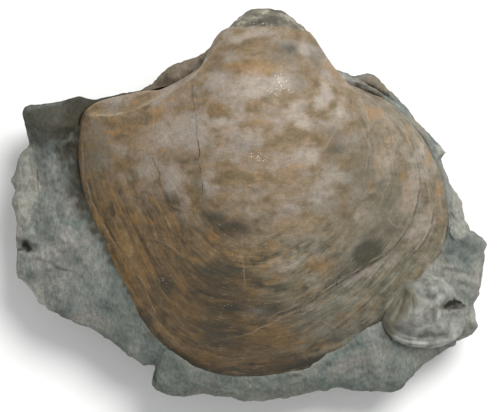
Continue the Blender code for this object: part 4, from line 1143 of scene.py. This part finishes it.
class FossilLook(bpy.types.PropertyGroup):
    """Sizes and colours of the fossil, and its light"""

    growth_relief: length("Growth lines", "Height of the valve's raised growth lines", 0.00009)
    swell_height: length("Swellings", "Height of the valve's slow swellings", 0.00025)
    line_depth: length("Line depth", "Depth of the finest lines and specks", 0.00010)
    chip_depth: length("Chip depth", "Depth of the stone's larger broken scoops", 0.0008)
    grain_depth: length("Grain depth", "Depth of the stone's finest grain", 0.0005)
    rust: shade("Rust", "Orange tan streaks on the valve", "#88693F")
    lilac: shade("Lilac", "Milky lilac grey patches on the valve", "#9A9084")
    olive: shade("Olive", "Greenish grey parts of the valve", "#5E5A4B")
    # Also the colour of painted shade on the valve's lower slopes and edge
    grime_and_shade: shade("Grime", "Dark stains on the valve", "#3A382D")
    warm_stone: shade("Warm stone", "Beige tinges of the stone", "#7C7974")
    pale_stone: shade("Pale stone", "Fresh pale facets of the stone", "#8A8A80")
    blue_stone: shade("Blue stone", "Bluish parts of the stone", "#626863")
    tan_stone: shade("Tan stone", "Brown tan stone beside the beak", "#6E6150")
    green_stone: shade("Green stone", "Greenish parts of the stone", "#646B63")
    brown_stone: shade("Brown stone", "Weathered brown corner of the stone", "#45433A")
    # Also the colour of painted shade in the stone's hollows and the small oyster's beak and grooves
    dark_stain_and_shade: shade("Dark stone", "Dark stains in hollows", "#35332A")
    oyster_brown: shade("Oyster brown", "Brown side of the small oyster", "#5F5A49")
    oyster_lip: shade("Oyster lip", "Whitish lip of the small oyster", "#9C9D96")
    light: FloatProperty(name="Light", description="Brightness of all the light", default=1.0, min=0)


class FOSSIL_OT_valve(bpy.types.Operator):
    """Grow the big valve from its rim to its beak"""

    bl_idname = "fossil.valve"
    bl_label = "Big Valve"

    def execute(self, context):
        build_valve(context.scene.fossil_look)
        return {"FINISHED"}


class FOSSIL_OT_stone(bpy.types.Operator):
    """Break the block of mudstone to shape"""

    bl_idname = "fossil.stone"
    bl_label = "Mudstone Block"

    def execute(self, context):
        build_stone(context.scene.fossil_look)
        return {"FINISHED"}


class FOSSIL_OT_oyster(bpy.types.Operator):
    """Fold the small oyster beside the valve"""

    bl_idname = "fossil.oyster"
    bl_label = "Small Oyster"

    def execute(self, context):
        build_oyster(context.scene.fossil_look)
        return {"FINISHED"}


class FOSSIL_OT_studio(bpy.types.Operator):
    """Set the floor, the lamps and the camera"""

    bl_idname = "fossil.studio"
    bl_label = "Studio"

    def execute(self, context):
        build_studio(context.scene.fossil_look)
        return {"FINISHED"}


OPERATORS = (FOSSIL_OT_valve, FOSSIL_OT_stone, FOSSIL_OT_oyster, FOSSIL_OT_studio)


class FOSSIL_PT_panel(bpy.types.Panel):
    """Lists the fossil's pieces and its look"""

    bl_label = "Fossil in Mudstone"
    bl_idname = "FOSSIL_PT_panel"
    bl_space_type = "VIEW_3D"
    bl_region_type = "UI"
    bl_category = "Fossil"

    def draw(self, context):
        for operator in OPERATORS:
            self.layout.operator(operator.bl_idname)
        for name in FossilLook.__annotations__:
            self.layout.prop(context.scene.fossil_look, name)


def register():
    for kind in (FossilLook, *OPERATORS, FOSSIL_PT_panel):
        bpy.utils.register_class(kind)
    bpy.types.Scene.fossil_look = PointerProperty(type=FossilLook)


def unregister():
    del bpy.types.Scene.fossil_look
    for kind in reversed((FossilLook, *OPERATORS, FOSSIL_PT_panel)):
        bpy.utils.unregister_class(kind)


def main():
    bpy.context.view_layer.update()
    register()
    bpy.ops.fossil.valve()
    bpy.ops.fossil.stone()
    bpy.ops.fossil.oyster()
    bpy.ops.fossil.studio()
    bpy.context.view_layer.update()


if __name__ == "__main__":
    main()
